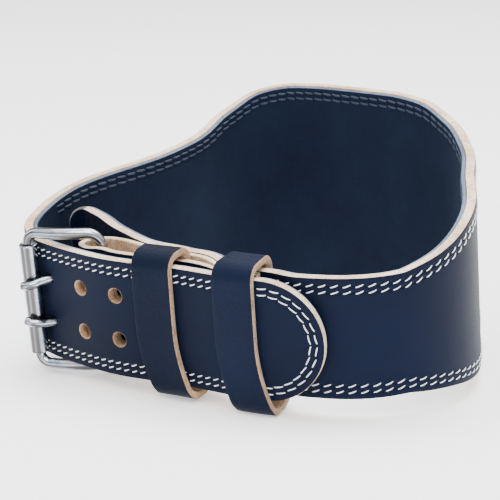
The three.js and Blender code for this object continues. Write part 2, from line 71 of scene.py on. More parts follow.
# %% Camera
EYE = Vector((0.45860, -0.89924, 0.30556))
TARGET = Vector((-0.00951, -0.02340, 0.06282))
ROLL = math.radians(-0.25)
camera = bpy.data.objects.new("camera", bpy.data.cameras.new("camera"))
bpy.context.scene.collection.objects.link(camera)
camera.location = EYE
aim = (TARGET - EYE).to_track_quat("-Z", "Y")
camera.rotation_euler = (aim @ Quaternion((0, 0, 1), ROLL)).to_euler()
camera.data.sensor_width = 36
camera.data.lens = 139.7
camera.data.clip_start = 0.05
bpy.context.scene.camera = camera
print("camera at", tuple(round(v, 3) for v in EYE))

# %% [markdown]
# ## The way the strip runs
# The belt could be drawn as a curve object with a bevel, but its height changes along the way and
# its ends have round corners. So the strip is treated as a flat pattern: a place on it is a
# distance from the billet's tip and a height. A plan curve then bends the pattern into the loop.
# The solids were made from the same sizes, in millimetres, and the same tables, in shares of them.
# The tables' knots began as a least-squares fit to the photo, and some were changed later.

# %% Sizes of the strip
LOOP_WIDTH = 232
LOOP_DEPTH = 205
STRAP_WIDTH = 63.5
SIDE_HEIGHT = 94.8
BACK_HEIGHT = 134.4
TONGUE_HEIGHT = 73
TONGUE_CORNER = 9
LEATHER = 4.8
LINING = 1.9
CLEAR = 0.3
LINING_INSET = 0.8
BELT = LEATHER + CLEAR + LINING
SHOULDER_REACH = 135
STRAP_REACH = 250

# Plan of the outer face, from the tip round the loop: shares of the loop's width and depth.
PLAN = [
    (0.3, -0.4735), (0.1214, -0.4999), (-0.0534, -0.4877), (-0.2035, -0.4889),
    (-0.3305, -0.4615), (-0.4256, -0.426), (-0.4855, -0.3776), (-0.4991, -0.2841),
    (-0.4671, -0.1478), (-0.3873, 0.0287), (-0.3393, 0.2129), (-0.2981, 0.3817),
    (-0.1863, 0.4859), (-0.0422, 0.4993), (0.1122, 0.4829), (0.2563, 0.4378),
    (0.3583, 0.3172), (0.4154, 0.1601), (0.4817, -0.0234), (0.4907, -0.2126),
    (0.4007, -0.3799),
]
BACK_KNOT = 13
# Plan of the free tongue inside the loop, in the same shares.
TONGUE = [(-0.2905, -0.3122), (-0.3388, -0.281), (-0.3823, -0.2537),
          (-0.4052, -0.2424), (-0.4237, -0.2473), (-0.4353, -0.2551)]
# Heights: share of the reach, share of the rise.
SHOULDER = [(0.25, 1), (0.341, 0.944), (0.43, 0.828), (0.519, 0.601),
            (0.607, 0.429), (0.711, 0.182), (0.83, 0.066), (1, 0)]
TAPER = [(0, 1), (0.26, 0.923), (0.45, 0.802), (0.6, 0.604), (0.75, 0.345), (0.88, 0.157), (1, 0)]
print("strip", STRAP_WIDTH, "mm wide at the buckle and", BACK_HEIGHT, "mm high at the back")

# %% [markdown]
# A natural cubic through the knots gives the same smooth bends that thick leather takes. Asking
# the curve by its length keeps the stitches evenly spaced round every bend.

# %% Smooth curves
def cubic(xs, ys):
    """Natural cubic through the knots, as a function of one number or an array."""
    xs, ys = np.array(xs, float), np.array(ys, float)
    n = len(xs)
    h = np.diff(xs)
    matrix = np.eye(n)
    right = np.zeros(n)
    for i in range(1, n - 1):
        matrix[i, i - 1:i + 2] = h[i - 1], 2 * (h[i - 1] + h[i]), h[i]
        right[i] = 6 * ((ys[i + 1] - ys[i]) / h[i] - (ys[i] - ys[i - 1]) / h[i - 1])
    m = np.linalg.solve(matrix, right)

    def value(x):
        x = np.asarray(x, float)
        i = np.clip(np.searchsorted(xs, x) - 1, 0, n - 2)
        u = (xs[i + 1] - x) / h[i]
        v = (x - xs[i]) / h[i]
        bend = ((u ** 3 - u) * m[i] + (v ** 3 - v) * m[i + 1]) * h[i] ** 2 / 6
        return u * ys[i] + v * ys[i + 1] + bend
    return value


def ease(x, low, high):
    t = np.clip((np.asarray(x, float) - low) / (high - low), 0, 1)
    return t * t * (3 - 2 * t)


def ramp(rows, x):
    """Eased steps through a table of stations and values."""
    value = np.full_like(np.asarray(x, float), rows[0][1])
    for (x0, y0), (x1, y1) in zip(rows, rows[1:]):
        value = value + (y1 - y0) * ease(x, x0, x1)
    return value


class PlanCurve:
    """A bend in plan: at(s, d) is the point d inside the face at the length s."""

    def __init__(self, points):
        points = np.array(points, float)
        self.chord = np.concatenate([[0], np.cumsum(np.hypot(*np.diff(points, axis=0).T))])
        self.fx = cubic(self.chord, points[:, 0])
        self.fy = cubic(self.chord, points[:, 1])
        self.t = np.linspace(0, self.chord[-1], round(self.chord[-1]) + 1)
        steps = np.hypot(np.diff(self.fx(self.t)), np.diff(self.fy(self.t)))
        self.s = np.concatenate([[0], np.cumsum(steps)])
        self.length = self.s[-1]

    def parameter(self, s):
        t = np.interp(s, self.s, self.t)
        return t + np.minimum(np.asarray(s, float), 0) + np.maximum(np.asarray(s, float) - self.length, 0)

    def length_at_knot(self, index):
        return self.s[np.argmax(self.t >= self.chord[index])]

    def inward(self, s):
        t = self.parameter(s)
        dx = self.fx(t + 0.5) - self.fx(t - 0.5)
        dy = self.fy(t + 0.5) - self.fy(t - 0.5)
        size = np.hypot(dx, dy)
        return np.stack([dy / size, -dx / size], -1)

    def at(self, s, d):
        t = self.parameter(s)
        d = np.asarray(d, float)[..., None]
        return np.stack([self.fx(t), self.fy(t)], -1) + self.inward(s) * d


billet = PlanCurve([(x * LOOP_WIDTH, y * LOOP_DEPTH) for x, y in PLAN])
back_middle = billet.length_at_knot(BACK_KNOT)
print("length of the loop", round(billet.length, 1), "mm, back at", round(back_middle, 1))

# %% [markdown]
# ## What lies behind the billet
# Behind the billet come the chape, which is the strap folded round the buckle's bar, and then the
# belt's other end. Their depths are worked out from the thickness of each layer, so nothing cuts
# into its neighbour when one thickness changes.

# %% Layers behind the billet
KEEPER_WIDTH = 21.5
KEEPER_WALL = 3.6
KEEPER_PLAY = 3.3
KEEPER_EASE = 0.5
KEEPER_ROUND = 8.6
KEEPER_SKEW = 7
TIP_KEEPER_AT = 44.3
TIP_KEEPER_HANG = 1.8
BUCKLE_KEEPER_AT = 90.8
BUCKLE_KEEPER_HANG = 0.5
CHAPE_WALL = 3
CHAPE_END_WALL = 2
CHAPE_WIDTH = 63
CHAPE_SLACK = 3.4
LAP_SLACK = 4
LAP_EASE = 22
LAP_KNOTS = 12
FOLD_EASE = 1.2

chape_end = TIP_KEEPER_AT - KEEPER_WIDTH * 0.4
tip_keeper_left = TIP_KEEPER_AT + KEEPER_WIDTH / 2
buckle_keeper_right = BUCKLE_KEEPER_AT - (KEEPER_WIDTH + KEEPER_SKEW) / 2 - 1
buckle_keeper_left = BUCKLE_KEEPER_AT + KEEPER_WIDTH / 2 + 1
legs_depth = BELT + 4 * CLEAR + 2 * CHAPE_END_WALL
full_depth = BELT + CHAPE_SLACK + 2 * CHAPE_WALL + KEEPER_WALL + 6 * CLEAR


def chape_wall(s):
    return ramp([(tip_keeper_left, CHAPE_END_WALL), (buckle_keeper_right, CHAPE_WALL)], s)


def front_leg(s):
    return BELT + CLEAR + ramp([(tip_keeper_left, 0), (buckle_keeper_right, CHAPE_SLACK)], s)


def belt_lap(s):
    return ramp([(chape_end - LAP_EASE, BELT + 3 * CLEAR), (chape_end - 2, legs_depth),
                 (tip_keeper_left, legs_depth), (buckle_keeper_right, full_depth),
                 (buckle_keeper_left, full_depth + LAP_SLACK)], s)


print("layers behind the buckle's keeper", round(full_depth, 1), "mm deep")

# %% [markdown]
# The buckle has axes of its own: along, from the bar that the chape holds to the roller, and out,
# away from the waist. The roller rests on the billet's face and the bar lies inside the fold.

# %% Axes of the buckle
ROLLER_DIAMETER = 9.6
ROLLER_BORE = 6
FRAME_ROD = 5.4
FRAME_FLAT = 6.2
FRAME_SIDE_PLAY = 1.7
FRAME_LIFT = 1.2
FRAME_CORNER = 8
ROLLER_CORNER = 6.2
FRAME_ARCH = 2.5
PRONG_DIAMETER = 4.8
PRONG_CLOSE = 2.5
BAR_AT = 136.5
ROLLER_AT = 170.5

bar_centre = billet.at(BAR_AT, front_leg(BAR_AT) + CHAPE_WALL + CLEAR + FRAME_ROD / 2)
roller_centre = billet.at(ROLLER_AT, -(ROLLER_DIAMETER / 2 + CLEAR))
buckle_reach = float(np.hypot(*(roller_centre - bar_centre)))
buckle_along = (roller_centre - bar_centre) / buckle_reach
buckle_out = np.array([-buckle_along[1], buckle_along[0]])
eye_radius = FRAME_ROD / 2 + CLEAR + PRONG_DIAMETER / 2
fold_snug = FRAME_ROD / 2 + 2 * CLEAR + CHAPE_WALL / 2
fold_loose = eye_radius + PRONG_DIAMETER / 2 + CLEAR + CHAPE_WALL / 2


def buckle(u, n):
    """Plan point at u along the buckle and n out of it."""
    u = np.asarray(u, float)[..., None]
    n = np.asarray(n, float)[..., None]
    return bar_centre + u * buckle_along + n * buckle_out


lap_stations = buckle_keeper_left * np.arange(LAP_KNOTS) / (LAP_KNOTS - 1)
behind_fold = buckle(-fold_snug * 1.5, -(fold_loose + CHAPE_WALL / 2 + FOLD_EASE))
strip = PlanCurve([(x * LOOP_WIDTH, y * LOOP_DEPTH) for x, y in PLAN]
                  + list(billet.at(lap_stations, belt_lap(lap_stations))) + [behind_fold]
                  + [(x * LOOP_WIDTH, y * LOOP_DEPTH) for x, y in TONGUE])
lap_start = strip.length_at_knot(len(PLAN))
lap_end = strip.length_at_knot(len(PLAN) + LAP_KNOTS)
print("whole strip", round(strip.length, 1), "mm, lap from", round(lap_start, 1), "to", round(lap_end, 1))

# %% [markdown]
# The height of the strip follows the same two tables of shoulders and tapers, and the finished
# loop leans back until its front and its back touch the floor.

# %% Height of the strip and the way the belt stands
LEAN = math.radians(7.898)
STAND = np.array([0.312, -0.672, 53.530])
shoulder_rise = cubic(*zip(*SHOULDER))
taper_rise = cubic(*zip(*TAPER))


def full_half(s):
    """Half of the strip's height, without its round ends."""
    u = np.abs(np.asarray(s, float) - back_middle)
    rise = shoulder_rise(np.clip(u / SHOULDER_REACH, SHOULDER[0][0], 1))
    near = (SIDE_HEIGHT + (BACK_HEIGHT - SIDE_HEIGHT) * rise) / 2
    along = np.clip((u - SHOULDER_REACH) / (STRAP_REACH - SHOULDER_REACH), 0, 1)
    far = (STRAP_WIDTH + (SIDE_HEIGHT - STRAP_WIDTH) * taper_rise(along)) / 2
    wide = ease(s, lap_end - KEEPER_WIDTH, strip.length - 2 * TONGUE_CORNER)
    return np.where(u < SHOULDER_REACH, near, far) + (TONGUE_HEIGHT - STRAP_WIDTH) / 2 * wide


def stand(plan, z):
    """Points of the belt's own frame, in millimetres, as places in the scene, in metres."""
    plan = np.asarray(plan, float)
    z = np.broadcast_to(np.asarray(z, float), plan.shape[:-1])
    y = plan[..., 1] * math.cos(LEAN) - z * math.sin(LEAN)
    up = plan[..., 1] * math.sin(LEAN) + z * math.cos(LEAN)
    return (np.stack([plan[..., 0], y, up], -1) + STAND) / 1000


def on_strip(s, z, depth):
    return stand(strip.at(s, depth), z)


back_edge = on_strip(back_middle, full_half(back_middle), 0)
print("upper edge of the back", round(float(back_edge[2]), 4), "m high")

# %% [markdown]
# ## Making meshes
# Every piece below is a list of points and faces made by numpy and handed to Blender in one go,
# which is much quicker than adding vertices one by one. Two extra numbers can ride on each vertex:
# how far it is along a seam and how far it is from the edge. The leather's material reads them.

# %% A helper that makes a piece
made = []


def piece(name, points, faces, finishes, which=None, facts=None, stands_for=(), slot=None):
    """A mesh object that rides on the belt. which gives each face's finish."""
    mesh = bpy.data.meshes.new(name)
    mesh.from_pydata(np.asarray(points).reshape(-1, 3).tolist(), [], [list(map(int, f)) for f in faces])
    for finish in finishes:
        mesh.materials.append(finish)
    if which is not None:
        mesh.polygons.foreach_set("material_index", np.array(which, np.int32))
    for key, values in (facts or {}).items():
        layer = mesh.attributes.new(key, "FLOAT", "POINT")
        layer.data.foreach_set("value", np.asarray(values, np.float32).ravel())
    work = bmesh.new()
    work.from_mesh(mesh)
    bmesh.ops.recalc_face_normals(work, faces=work.faces)
    work.to_mesh(mesh)
    work.free()
    mesh.polygons.foreach_set("use_smooth", [True] * len(mesh.polygons))
    thing = bpy.data.objects.new(name, mesh)
    bpy.context.scene.collection.objects.link(thing)
    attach(thing, "root")
    if stands_for:
        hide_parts(*stands_for)
    made.append(thing)
    triangles = sum(len(p.vertices) - 2 for p in mesh.polygons)
    print(name, len(mesh.vertices), "points", triangles, "triangles")
    return thing


# %% [markdown]
# ## Finishes
# Each finish is a small tree of nodes. Noise at two or three scales gives the slow change of
# colour over a hide and the fine grain that breaks up its shine, and a bump node turns the same
# patterns into relief. Lengths are in metres, so a noise scale of 900 has spots of about 1 mm.

# %% Helpers for finishes
def new_finish(name):
    finish = bpy.data.materials.new(name)
    finish.use_nodes = True
    tree = finish.node_tree
    shader = tree.nodes["Principled BSDF"]
    return finish, tree, shader


def add_node(tree, kind, settings=None, **inputs):
    node = tree.nodes.new(kind)
    for key, value in (settings or {}).items():
        setattr(node, key, value)
    for key, value in inputs.items():
        socket = node.inputs[key.replace("_", " ")]
        if isinstance(value, bpy.types.NodeSocket):
            tree.links.new(value, socket)
        else:
            socket.default_value = value
    return node


def math_node(tree, operation, *values):
    node = tree.nodes.new("ShaderNodeMath")
    node.operation = operation
    for socket, value in zip(node.inputs, values):
        if isinstance(value, bpy.types.NodeSocket):
            tree.links.new(value, socket)
        else:
            socket.default_value = value
    return node.outputs[0]


def noise(tree, where, scale, detail=4.0, roughness=0.55, stretch=None):
    if stretch is not None:
        where = add_node(tree, "ShaderNodeMapping", Vector=where, Scale=stretch).outputs[0]
    return add_node(tree, "ShaderNodeTexNoise", Vector=where, Scale=scale, Detail=detail,
                    Roughness=roughness).outputs["Fac"]


def blend_colours(tree, share, first, second, kind="MIX"):
    node = tree.nodes.new("ShaderNodeMix")
    node.data_type = "RGBA"
    node.blend_type = kind
    for index, value in ((0, share), (6, first), (7, second)):
        if isinstance(value, bpy.types.NodeSocket):
            tree.links.new(value, node.inputs[index])
        else:
            node.inputs[index].default_value = value
    return node.outputs[2]


def between(tree, value, low, high, to_low=0.0, to_high=1.0):
    node = add_node(tree, "ShaderNodeMapRange", {"clamp": True}, Value=value)
    for key, number in (("From Min", low), ("From Max", high), ("To Min", to_low), ("To Max", to_high)):
        node.inputs[key].default_value = number
    return node.outputs["Result"]


def bump(tree, height, distance, strength=1.0, under=None):
    node = add_node(tree, "ShaderNodeBump", Height=height, Distance=distance, Strength=strength)
    if under is not None:
        tree.links.new(under, node.inputs["Normal"])
    return node.outputs["Normal"]


def colour(*shade):
    """A colour as it looks on screen, red, green and blue from 0 to 255, for a shader."""
    def linear(value):
        return value / 255 / 12.92 if value <= 10 else ((value / 255 + 0.055) / 1.055) ** 2.4
    return tuple(linear(value) for value in shade) + (1.0,)


def weighted(tree, first, share, second):
    """Two patterns added, the first with a share and the second with the rest."""
    return math_node(tree, "ADD", math_node(tree, "MULTIPLY", first, share),
                     math_node(tree, "MULTIPLY", second, 1 - share))


# %% [markdown]
# ### Navy leather
# The grain side is dyed and lightly waxed. It is almost plain from far away. Close up it has fine
# pores, faint scuffs a little paler than the rest, and a soft pull where the seam presses it. The
# seam's dents are made from the two numbers on each vertex: where the stitches start and end, the
# thread pulls the leather down, and painted shade darkens the deepest part of each dent. The keepers
# have no seam, and a coarser grain instead.

# %% Finish: navy leather
SEAM_ROWS = (4.0, 7.3)


def seam_grooves(tree):
    """How deep the seam's dents are, 0 to 1, from the numbers on the vertices."""
    along = add_node(tree, "ShaderNodeAttribute", {"attribute_name": "along"}).outputs["Fac"]
    edge = add_node(tree, "ShaderNodeAttribute", {"attribute_name": "edge"}).outputs["Fac"]
    within = math_node(tree, "SUBTRACT", math_node(tree, "FRACT", along), 0.5)
    pull = between(tree, math_node(tree, "ABSOLUTE", within), 0.2, 0.5, 0.35, 1.0)
    dents = []
    for row in SEAM_ROWS:
        off = math_node(tree, "ABSOLUTE", math_node(tree, "SUBTRACT", edge, row))
        dents.append(math_node(tree, "MULTIPLY", between(tree, off, 0.0, 1.3, 1.0, 0.0), pull))
    return math_node(tree, "MAXIMUM", *dents)


def leather_finish(name, dark, light, seam):
    finish, tree, shader = new_finish(name)
    where = add_node(tree, "ShaderNodeTexCoord").outputs["Object"]
    cloudy = noise(tree, where, 14, 5, 0.6)
    fine = noise(tree, where, 900, 4, 0.6)
    tone = between(tree, weighted(tree, cloudy, 0.75, fine), 0.36, 0.64)
    base = blend_colours(tree, tone, dark, light)
    scuff = between(tree, noise(tree, where, 45, 8, 0.7, (1.0, 1.0, 0.35)), 0.62, 0.78, 0.0, 0.35)
    base = blend_colours(tree, scuff, base, colour(22, 36, 62))
    pores = add_node(tree, "ShaderNodeTexVoronoi", Vector=where, Scale=1500.0).outputs["Distance"]
    normal = bump(tree, weighted(tree, between(tree, pores, 0.0, 0.5), 0.35, fine), 0.00006, 0.5)
    normal = bump(tree, noise(tree, where, 60, 3), 0.0004, 0.25, normal)
    if seam:
        grooves = seam_grooves(tree)
        normal = bump(tree, math_node(tree, "MULTIPLY", grooves, -1.0), 0.0006, 0.9, normal)
        # painted shade: the deepest part of each seam dent is painted nearly black
        base = blend_colours(tree, between(tree, grooves, 0.45, 1.0, 0.0, 0.75), base, colour(5, 8, 14))
    else:
        normal = bump(tree, noise(tree, where, 560, 3, 0.6), 0.0006, 0.65, normal)
    tree.links.new(base, shader.inputs["Base Color"])
    tree.links.new(normal, shader.inputs["Normal"])
    gloss = math_node(tree, "ADD", between(tree, cloudy, 0.3, 0.7, 0.44, 0.54),
                      between(tree, fine, 0.3, 0.7, -0.04, 0.05))
    tree.links.new(gloss, shader.inputs["Roughness"])
    shader.inputs["Specular IOR Level"].default_value = 0.055
    shader.inputs["Sheen Weight"].default_value = 0.02
    shader.inputs["Sheen Roughness"].default_value = 0.5
    return finish


navy_leather = leather_finish("navy_leather", colour(5, 12, 27), colour(9, 18, 40), True)
keeper_leather = leather_finish("keeper_leather", colour(5, 12, 27), colour(10, 20, 42), False)
print("leather finishes", navy_leather.name, keeper_leather.name)

# %% [markdown]
# ### Tan cut edge and flesh side
# Where the hide is cut it shows its natural tan inside: pale and lightly sanded on the edges, and
# a little darker and hairier on the flesh side. All of them are one kind of finish with other
# colours: a fine noise for the fibres, a slow one for the stains, and darker pits.

# %% Finish: cut edge and flesh side
def raw_leather(name, dark, light, fibre, depth):
    finish, tree, shader = new_finish(name)
    where = add_node(tree, "ShaderNodeTexCoord").outputs["Object"]
    cloudy = noise(tree, where, 35, 5, 0.65)
    specks = noise(tree, where, fibre, 6, 0.7)
    tone = between(tree, weighted(tree, cloudy, 0.5, specks), 0.38, 0.62)
    base = blend_colours(tree, tone, dark, light)
    pits = between(tree, noise(tree, where, fibre * 0.6, 3, 0.6), 0.3, 0.46, 0.6, 0.0)
    base = blend_colours(tree, pits, base, tuple(v * 0.45 for v in dark[:3]) + (1.0,))
    tree.links.new(base, shader.inputs["Base Color"])
    tree.links.new(bump(tree, specks, depth, 0.9), shader.inputs["Normal"])
    shader.inputs["Roughness"].default_value = 0.85
    shader.inputs["Specular IOR Level"].default_value = 0.25
    shader.inputs["Sheen Weight"].default_value = 0.15
    shader.inputs["Sheen Roughness"].default_value = 0.6
    return finish


cut_edge = raw_leather("cut_edge", colour(180, 140, 102), colour(248, 230, 206), 900, 0.0005)
flesh_side = raw_leather("flesh_side", colour(150, 116, 84), colour(222, 194, 160), 800, 0.0006)
hole_wall = raw_leather("hole_wall", colour(106, 80, 56), colour(186, 148, 110), 900, 0.0003)
nap_edge = raw_leather("nap_edge", colour(50, 64, 88), colour(108, 124, 150), 1100, 0.0005)
keeper_edge = raw_leather("keeper_edge", colour(112, 84, 58), colour(192, 158, 122), 900, 0.0004)
# painted shade: the cut edge round the free tongue's end is tan like the rest, painted dark here as shade
painted_end_shade = raw_leather("painted_end_shade", colour(26, 28, 34), colour(84, 72, 62), 420, 0.0003)
print("raw finishes", [f.name for f in (cut_edge, flesh_side, hole_wall, nap_edge, keeper_edge, painted_end_shade)])

# %% [markdown]
# ### Suede lining
# Suede is the split side of a hide, sanded into a short nap. It has almost no shine, but the tips
# of the nap catch light seen from the side, which the sheen part of the shader gives. Patches
# where the nap lies another way look lighter or darker.

# %% Finish: suede
def suede_finish():
    finish, tree, shader = new_finish("navy_suede")
    where = add_node(tree, "ShaderNodeTexCoord").outputs["Object"]
    strokes = noise(tree, where, 24, 5, 0.65, (1.0, 1.0, 0.8))
    nap = noise(tree, where, 1100, 5, 0.75)
    tufts = noise(tree, where, 320, 4, 0.65)
    tone = between(tree, weighted(tree, strokes, 0.55, nap), 0.36, 0.66)
    base = blend_colours(tree, tone, colour(12, 19, 33), colour(22, 32, 52))
    tree.links.new(base, shader.inputs["Base Color"])
    tree.links.new(bump(tree, weighted(tree, nap, 0.6, tufts), 0.0006, 0.8), shader.inputs["Normal"])
    shader.inputs["Roughness"].default_value = 0.95
    shader.inputs["Specular IOR Level"].default_value = 0.1
    shader.inputs["Sheen Weight"].default_value = 0.1
    shader.inputs["Sheen Roughness"].default_value = 0.45
    shader.inputs["Sheen Tint"].default_value = colour(150, 175, 215)
    return finish


navy_suede = suede_finish()
print("lining finish", navy_suede.name)

# %% [markdown]
# ### Nickel and thread
# The buckle is bent steel rod, nickel plated and polished. Its shine comes from the lights around
# it, with a light brushing and faint rub marks. A white floor leaves it flat, so a painted reflection
# is added: the plating is painted darker where it faces certain ways, as if it mirrored a room. The
# slow noise for it is read from the direction of the surface and not from its place. The thread is
# waxed polyester, slightly glossy, with a twist that a fine noise is enough to suggest at this size.

# %% Finish: nickel and thread
def nickel_finish():
    finish, tree, shader = new_finish("nickel")
    where = add_node(tree, "ShaderNodeTexCoord").outputs["Object"]
    rubs = noise(tree, where, 120, 6, 0.7)
    brush = noise(tree, where, 260, 3, 0.5, (1.0, 1.0, 12.0))
    facing = add_node(tree, "ShaderNodeNewGeometry").outputs["Normal"]
    # painted reflection: dark bands set by the way the surface faces, as if a room were mirrored
    painted_reflection = between(tree, noise(tree, facing, 1.5, 0.0, 0.5), 0.33, 0.55)
    rubbed = between(tree, rubs, 0.3, 0.6)
    polished = blend_colours(tree, rubbed, colour(146, 157, 173), colour(200, 208, 218))
    # painted reflection: where the bands are dark, the plating's colour is pulled to a dark grey
    base = blend_colours(tree, painted_reflection, colour(84, 82, 82), polished)
    tree.links.new(base, shader.inputs["Base Color"])
    tree.links.new(between(tree, rubs, 0.3, 0.75, 0.14, 0.26), shader.inputs["Roughness"])
    tree.links.new(bump(tree, brush, 0.00004, 0.5), shader.inputs["Normal"])
    shader.inputs["Metallic"].default_value = 1.0
    return finish


def thread_finish(name, dark, light):
    finish, tree, shader = new_finish(name)
    where = add_node(tree, "ShaderNodeTexCoord").outputs["Object"]
    twist = noise(tree, where, 2600, 2, 0.5)
    base = blend_colours(tree, between(tree, twist, 0.35, 0.65), dark, light)
    tree.links.new(base, shader.inputs["Base Color"])
    tree.links.new(bump(tree, twist, 0.00012, 0.7), shader.inputs["Normal"])
    shader.inputs["Roughness"].default_value = 0.55
    return finish


nickel = nickel_finish()
white_thread = thread_finish("white_thread", colour(205, 208, 212), colour(244, 245, 246))
blue_thread = thread_finish("blue_thread", colour(24, 34, 50), colour(40, 52, 72))
print("metal and thread finishes", nickel.name, white_thread.name, blue_thread.name)

# %% [markdown]
# ## The leather strip
# The strip is a grid of points laid over its flat pattern and then bent. A plain grid can't end in
# a half round, so the last rows at the tip are squeezed from a square into a disc, which keeps
# every face a neat four-sided one. The free tongue ends square with round corners, so there only
# the corners are squeezed. Where the holes come, the rows and columns are set to frame them.

# %% Rows and columns of the grid
HOLE_DIAMETER = 7.8
HOLE_FIRST = 115
HOLE_PITCH = 23.2
HOLE_COLUMNS = 4
HOLE_ROW_GAP = 24
HOLE_LIFT = 0.7
PRONG_COLUMN = 2
HOLE_PATCH = 6.5
ROW_STEP = 2.2
COLUMN_STEP = 0.07
RIM_COLUMNS = [0.96, 0.98, 1.0]
TIP_ROWS = 16

hole_columns = [HOLE_FIRST + HOLE_PITCH * k for k in range(HOLE_COLUMNS)]
hole_at = hole_columns[PRONG_COLUMN]
tip_radius = STRAP_WIDTH / 2
tongue_core = TONGUE_HEIGHT / 2 - TONGUE_CORNER
tail = strip.length - TONGUE_CORNER


def spread(low, high, step=ROW_STEP):
    return list(np.linspace(low, high, max(2, round((high - low) / step) + 1))[:-1])


rows = spread(tip_radius, hole_columns[0] - HOLE_PATCH)
for k, column in enumerate(hole_columns):
    rows += spread(column - HOLE_PATCH, column + HOLE_PATCH)
    if k + 1 < HOLE_COLUMNS:
        rows += spread(column + HOLE_PATCH, column + HOLE_PITCH - HOLE_PATCH)
rows += spread(hole_columns[-1] + HOLE_PATCH, tail)
rows = np.array(rows + [tail])
patch_low = (HOLE_ROW_GAP / 2 - HOLE_PATCH) / tip_radius
patch_high = (HOLE_ROW_GAP / 2 + HOLE_PATCH) / tip_radius
half_columns = np.array(spread(0, patch_low, COLUMN_STEP) + spread(patch_low, patch_high, COLUMN_STEP)
                        + spread(patch_high, RIM_COLUMNS[0], COLUMN_STEP) + RIM_COLUMNS)
columns = np.concatenate([-half_columns[:0:-1], half_columns])


# %% Grid over the pattern
def pattern(inset):
    """Stations and heights of the grid, drawn in from the outline."""
    turn = -np.cos(np.linspace(0, math.pi / 2, TIP_ROWS + 1)[:-1])[:, None]
    share = columns[None, :]
    radius = tip_radius - inset
    tip = (tip_radius + radius * turn * np.sqrt(1 - share ** 2 / 2),
           radius * share * np.sqrt(1 - turn ** 2 / 2))
    middle = rows[:, None] + 0 * share, (full_half(rows)[:, None] - inset) * share
    corner = TONGUE_CORNER - inset
    height = share * (tongue_core + corner)
    past = np.maximum(np.abs(height) - tongue_core, 0) / corner
    back = -turn[::-1]
    rounded = np.sign(share) * (tongue_core + corner * past * np.sqrt(1 - back ** 2 / 2))
    end = tail + corner * back * np.sqrt(1 - past ** 2 / 2), np.where(past > 0, rounded, height + 0 * back)
    return np.concatenate([tip[0], middle[0], end[0]]), np.concatenate([tip[1], middle[1], end[1]])


grid_shape = pattern(0)[0].shape
print("grid of", grid_shape, "points")

# %% [markdown]
# Each vertex also gets its distance from the outline and how many stitches lie between it and the
# tip, for the dents of the seam. Round the tip the stitches are a little longer than along the
# billet, as on the real belt.

# %% Seam numbers
PITCH_ROUND = 6.1
PITCH_STRAIGHT = 4.8
PITCH_EASE = 12
BILLET_SEAM_END = 200
SEAM_MIDDLE = 5.5
TINY = 1e-6

seam_corner = tip_radius - SEAM_MIDDLE
seam_quarter = seam_corner * math.pi / 2


def edge_distance(s, z):
    s, z = np.asarray(s, float), np.abs(np.asarray(z, float))
    side = full_half(s) - z
    tip = tip_radius - np.hypot(np.maximum(tip_radius - s, 0), z)
    end = TONGUE_CORNER - np.hypot(np.maximum(s - tail, 0), np.maximum(z - tongue_core, 0))
    return np.where(s < tip_radius, tip, np.where(s > tail, end, side))


def seam_length(s, z):
    """Length along a seam, from the middle of the tip."""
    s, z = np.asarray(s, float), np.abs(np.asarray(z, float))
    round_tip = np.arctan2(z, np.maximum(tip_radius - s, TINY)) * seam_corner
    round_end = np.arctan2(np.maximum(s - tail, 0), np.maximum(z - tongue_core, TINY))
    straight = seam_quarter + s - tip_radius
    end = seam_quarter + tail - tip_radius + round_end * (TONGUE_CORNER - SEAM_MIDDLE)
    end = end + np.maximum(tongue_core - z, 0)
    return np.where(s < tip_radius, round_tip, np.where(s > tail, end, straight))


length_grid = np.linspace(0, strip.length + 60, 4000)
tighter = (ease(length_grid, seam_quarter - 2, seam_quarter + 4)
           - ease(length_grid, BILLET_SEAM_END, BILLET_SEAM_END + PITCH_EASE))
pitch_grid = PITCH_ROUND + (PITCH_STRAIGHT - PITCH_ROUND) * tighter
count_grid = np.concatenate([[0], np.cumsum(np.diff(length_grid) / pitch_grid[1:])])


def stitch_count(length):
    return np.interp(length, length_grid, count_grid)


print("stitches in one row from the tip", round(float(stitch_count(strip.length))))

# %% [markdown]
# A cut edge of natural leather isn't a sharp corner, so the grid of each face stops a little short
# of the outline, and rows of narrow faces roll over the edge between them. The faces between two
# rows share one number, which picks their material from the piece's list of finishes.

# %% Rows over the edge
FACE, EDGE, INNER, WALL, END_SHADE = range(5)
CROWN = 0.12


def border(i0, i1, j0, j1):
    """Rows and columns of the points round a block of the grid."""
    ring = [(a, j0) for a in range(i0, i1)] + [(i1, b) for b in range(j0, j1)]
    ring += [(a, j1) for a in range(i1, i0, -1)] + [(i0, b) for b in range(j1, j0, -1)]
    return tuple(np.array(ring).T)


def sew(faces, which, rings, finish_of):
    """Faces between rings of points, with a finish, or one for each face, for every gap."""
    for a, b, finish in zip(rings, rings[1:], finish_of):
        following = np.roll(np.arange(len(a)), -1)
        faces.extend(np.stack([a, a[following], b[following], b], -1).tolist())
        which.extend(np.broadcast_to(finish, len(a)).tolist())


def rim_rows(near, far, rim, lower_rim):
    """Rows over the cut edge: how far in from the outline, how deep, and the finish."""
    steps = [(rim * (1 - math.sin(a)), near + rim * (1 - math.cos(a)), FACE if a < 0.9 else EDGE)
             for a in np.radians((25, 50, 70, 90))]
    steps += [(-CROWN * math.sin(math.pi * t), near + rim + (far - near - rim - lower_rim) * t, EDGE)
              for t in (0.25, 0.5, 0.75)]
    steps += [(lower_rim * (1 - math.cos(a)), far - lower_rim * (1 - math.sin(a)), EDGE)
              for a in np.radians((0, 45))]
    return steps


print("rows over the leather's edge", len(rim_rows(0, LEATHER, 0.7, 0.35)))
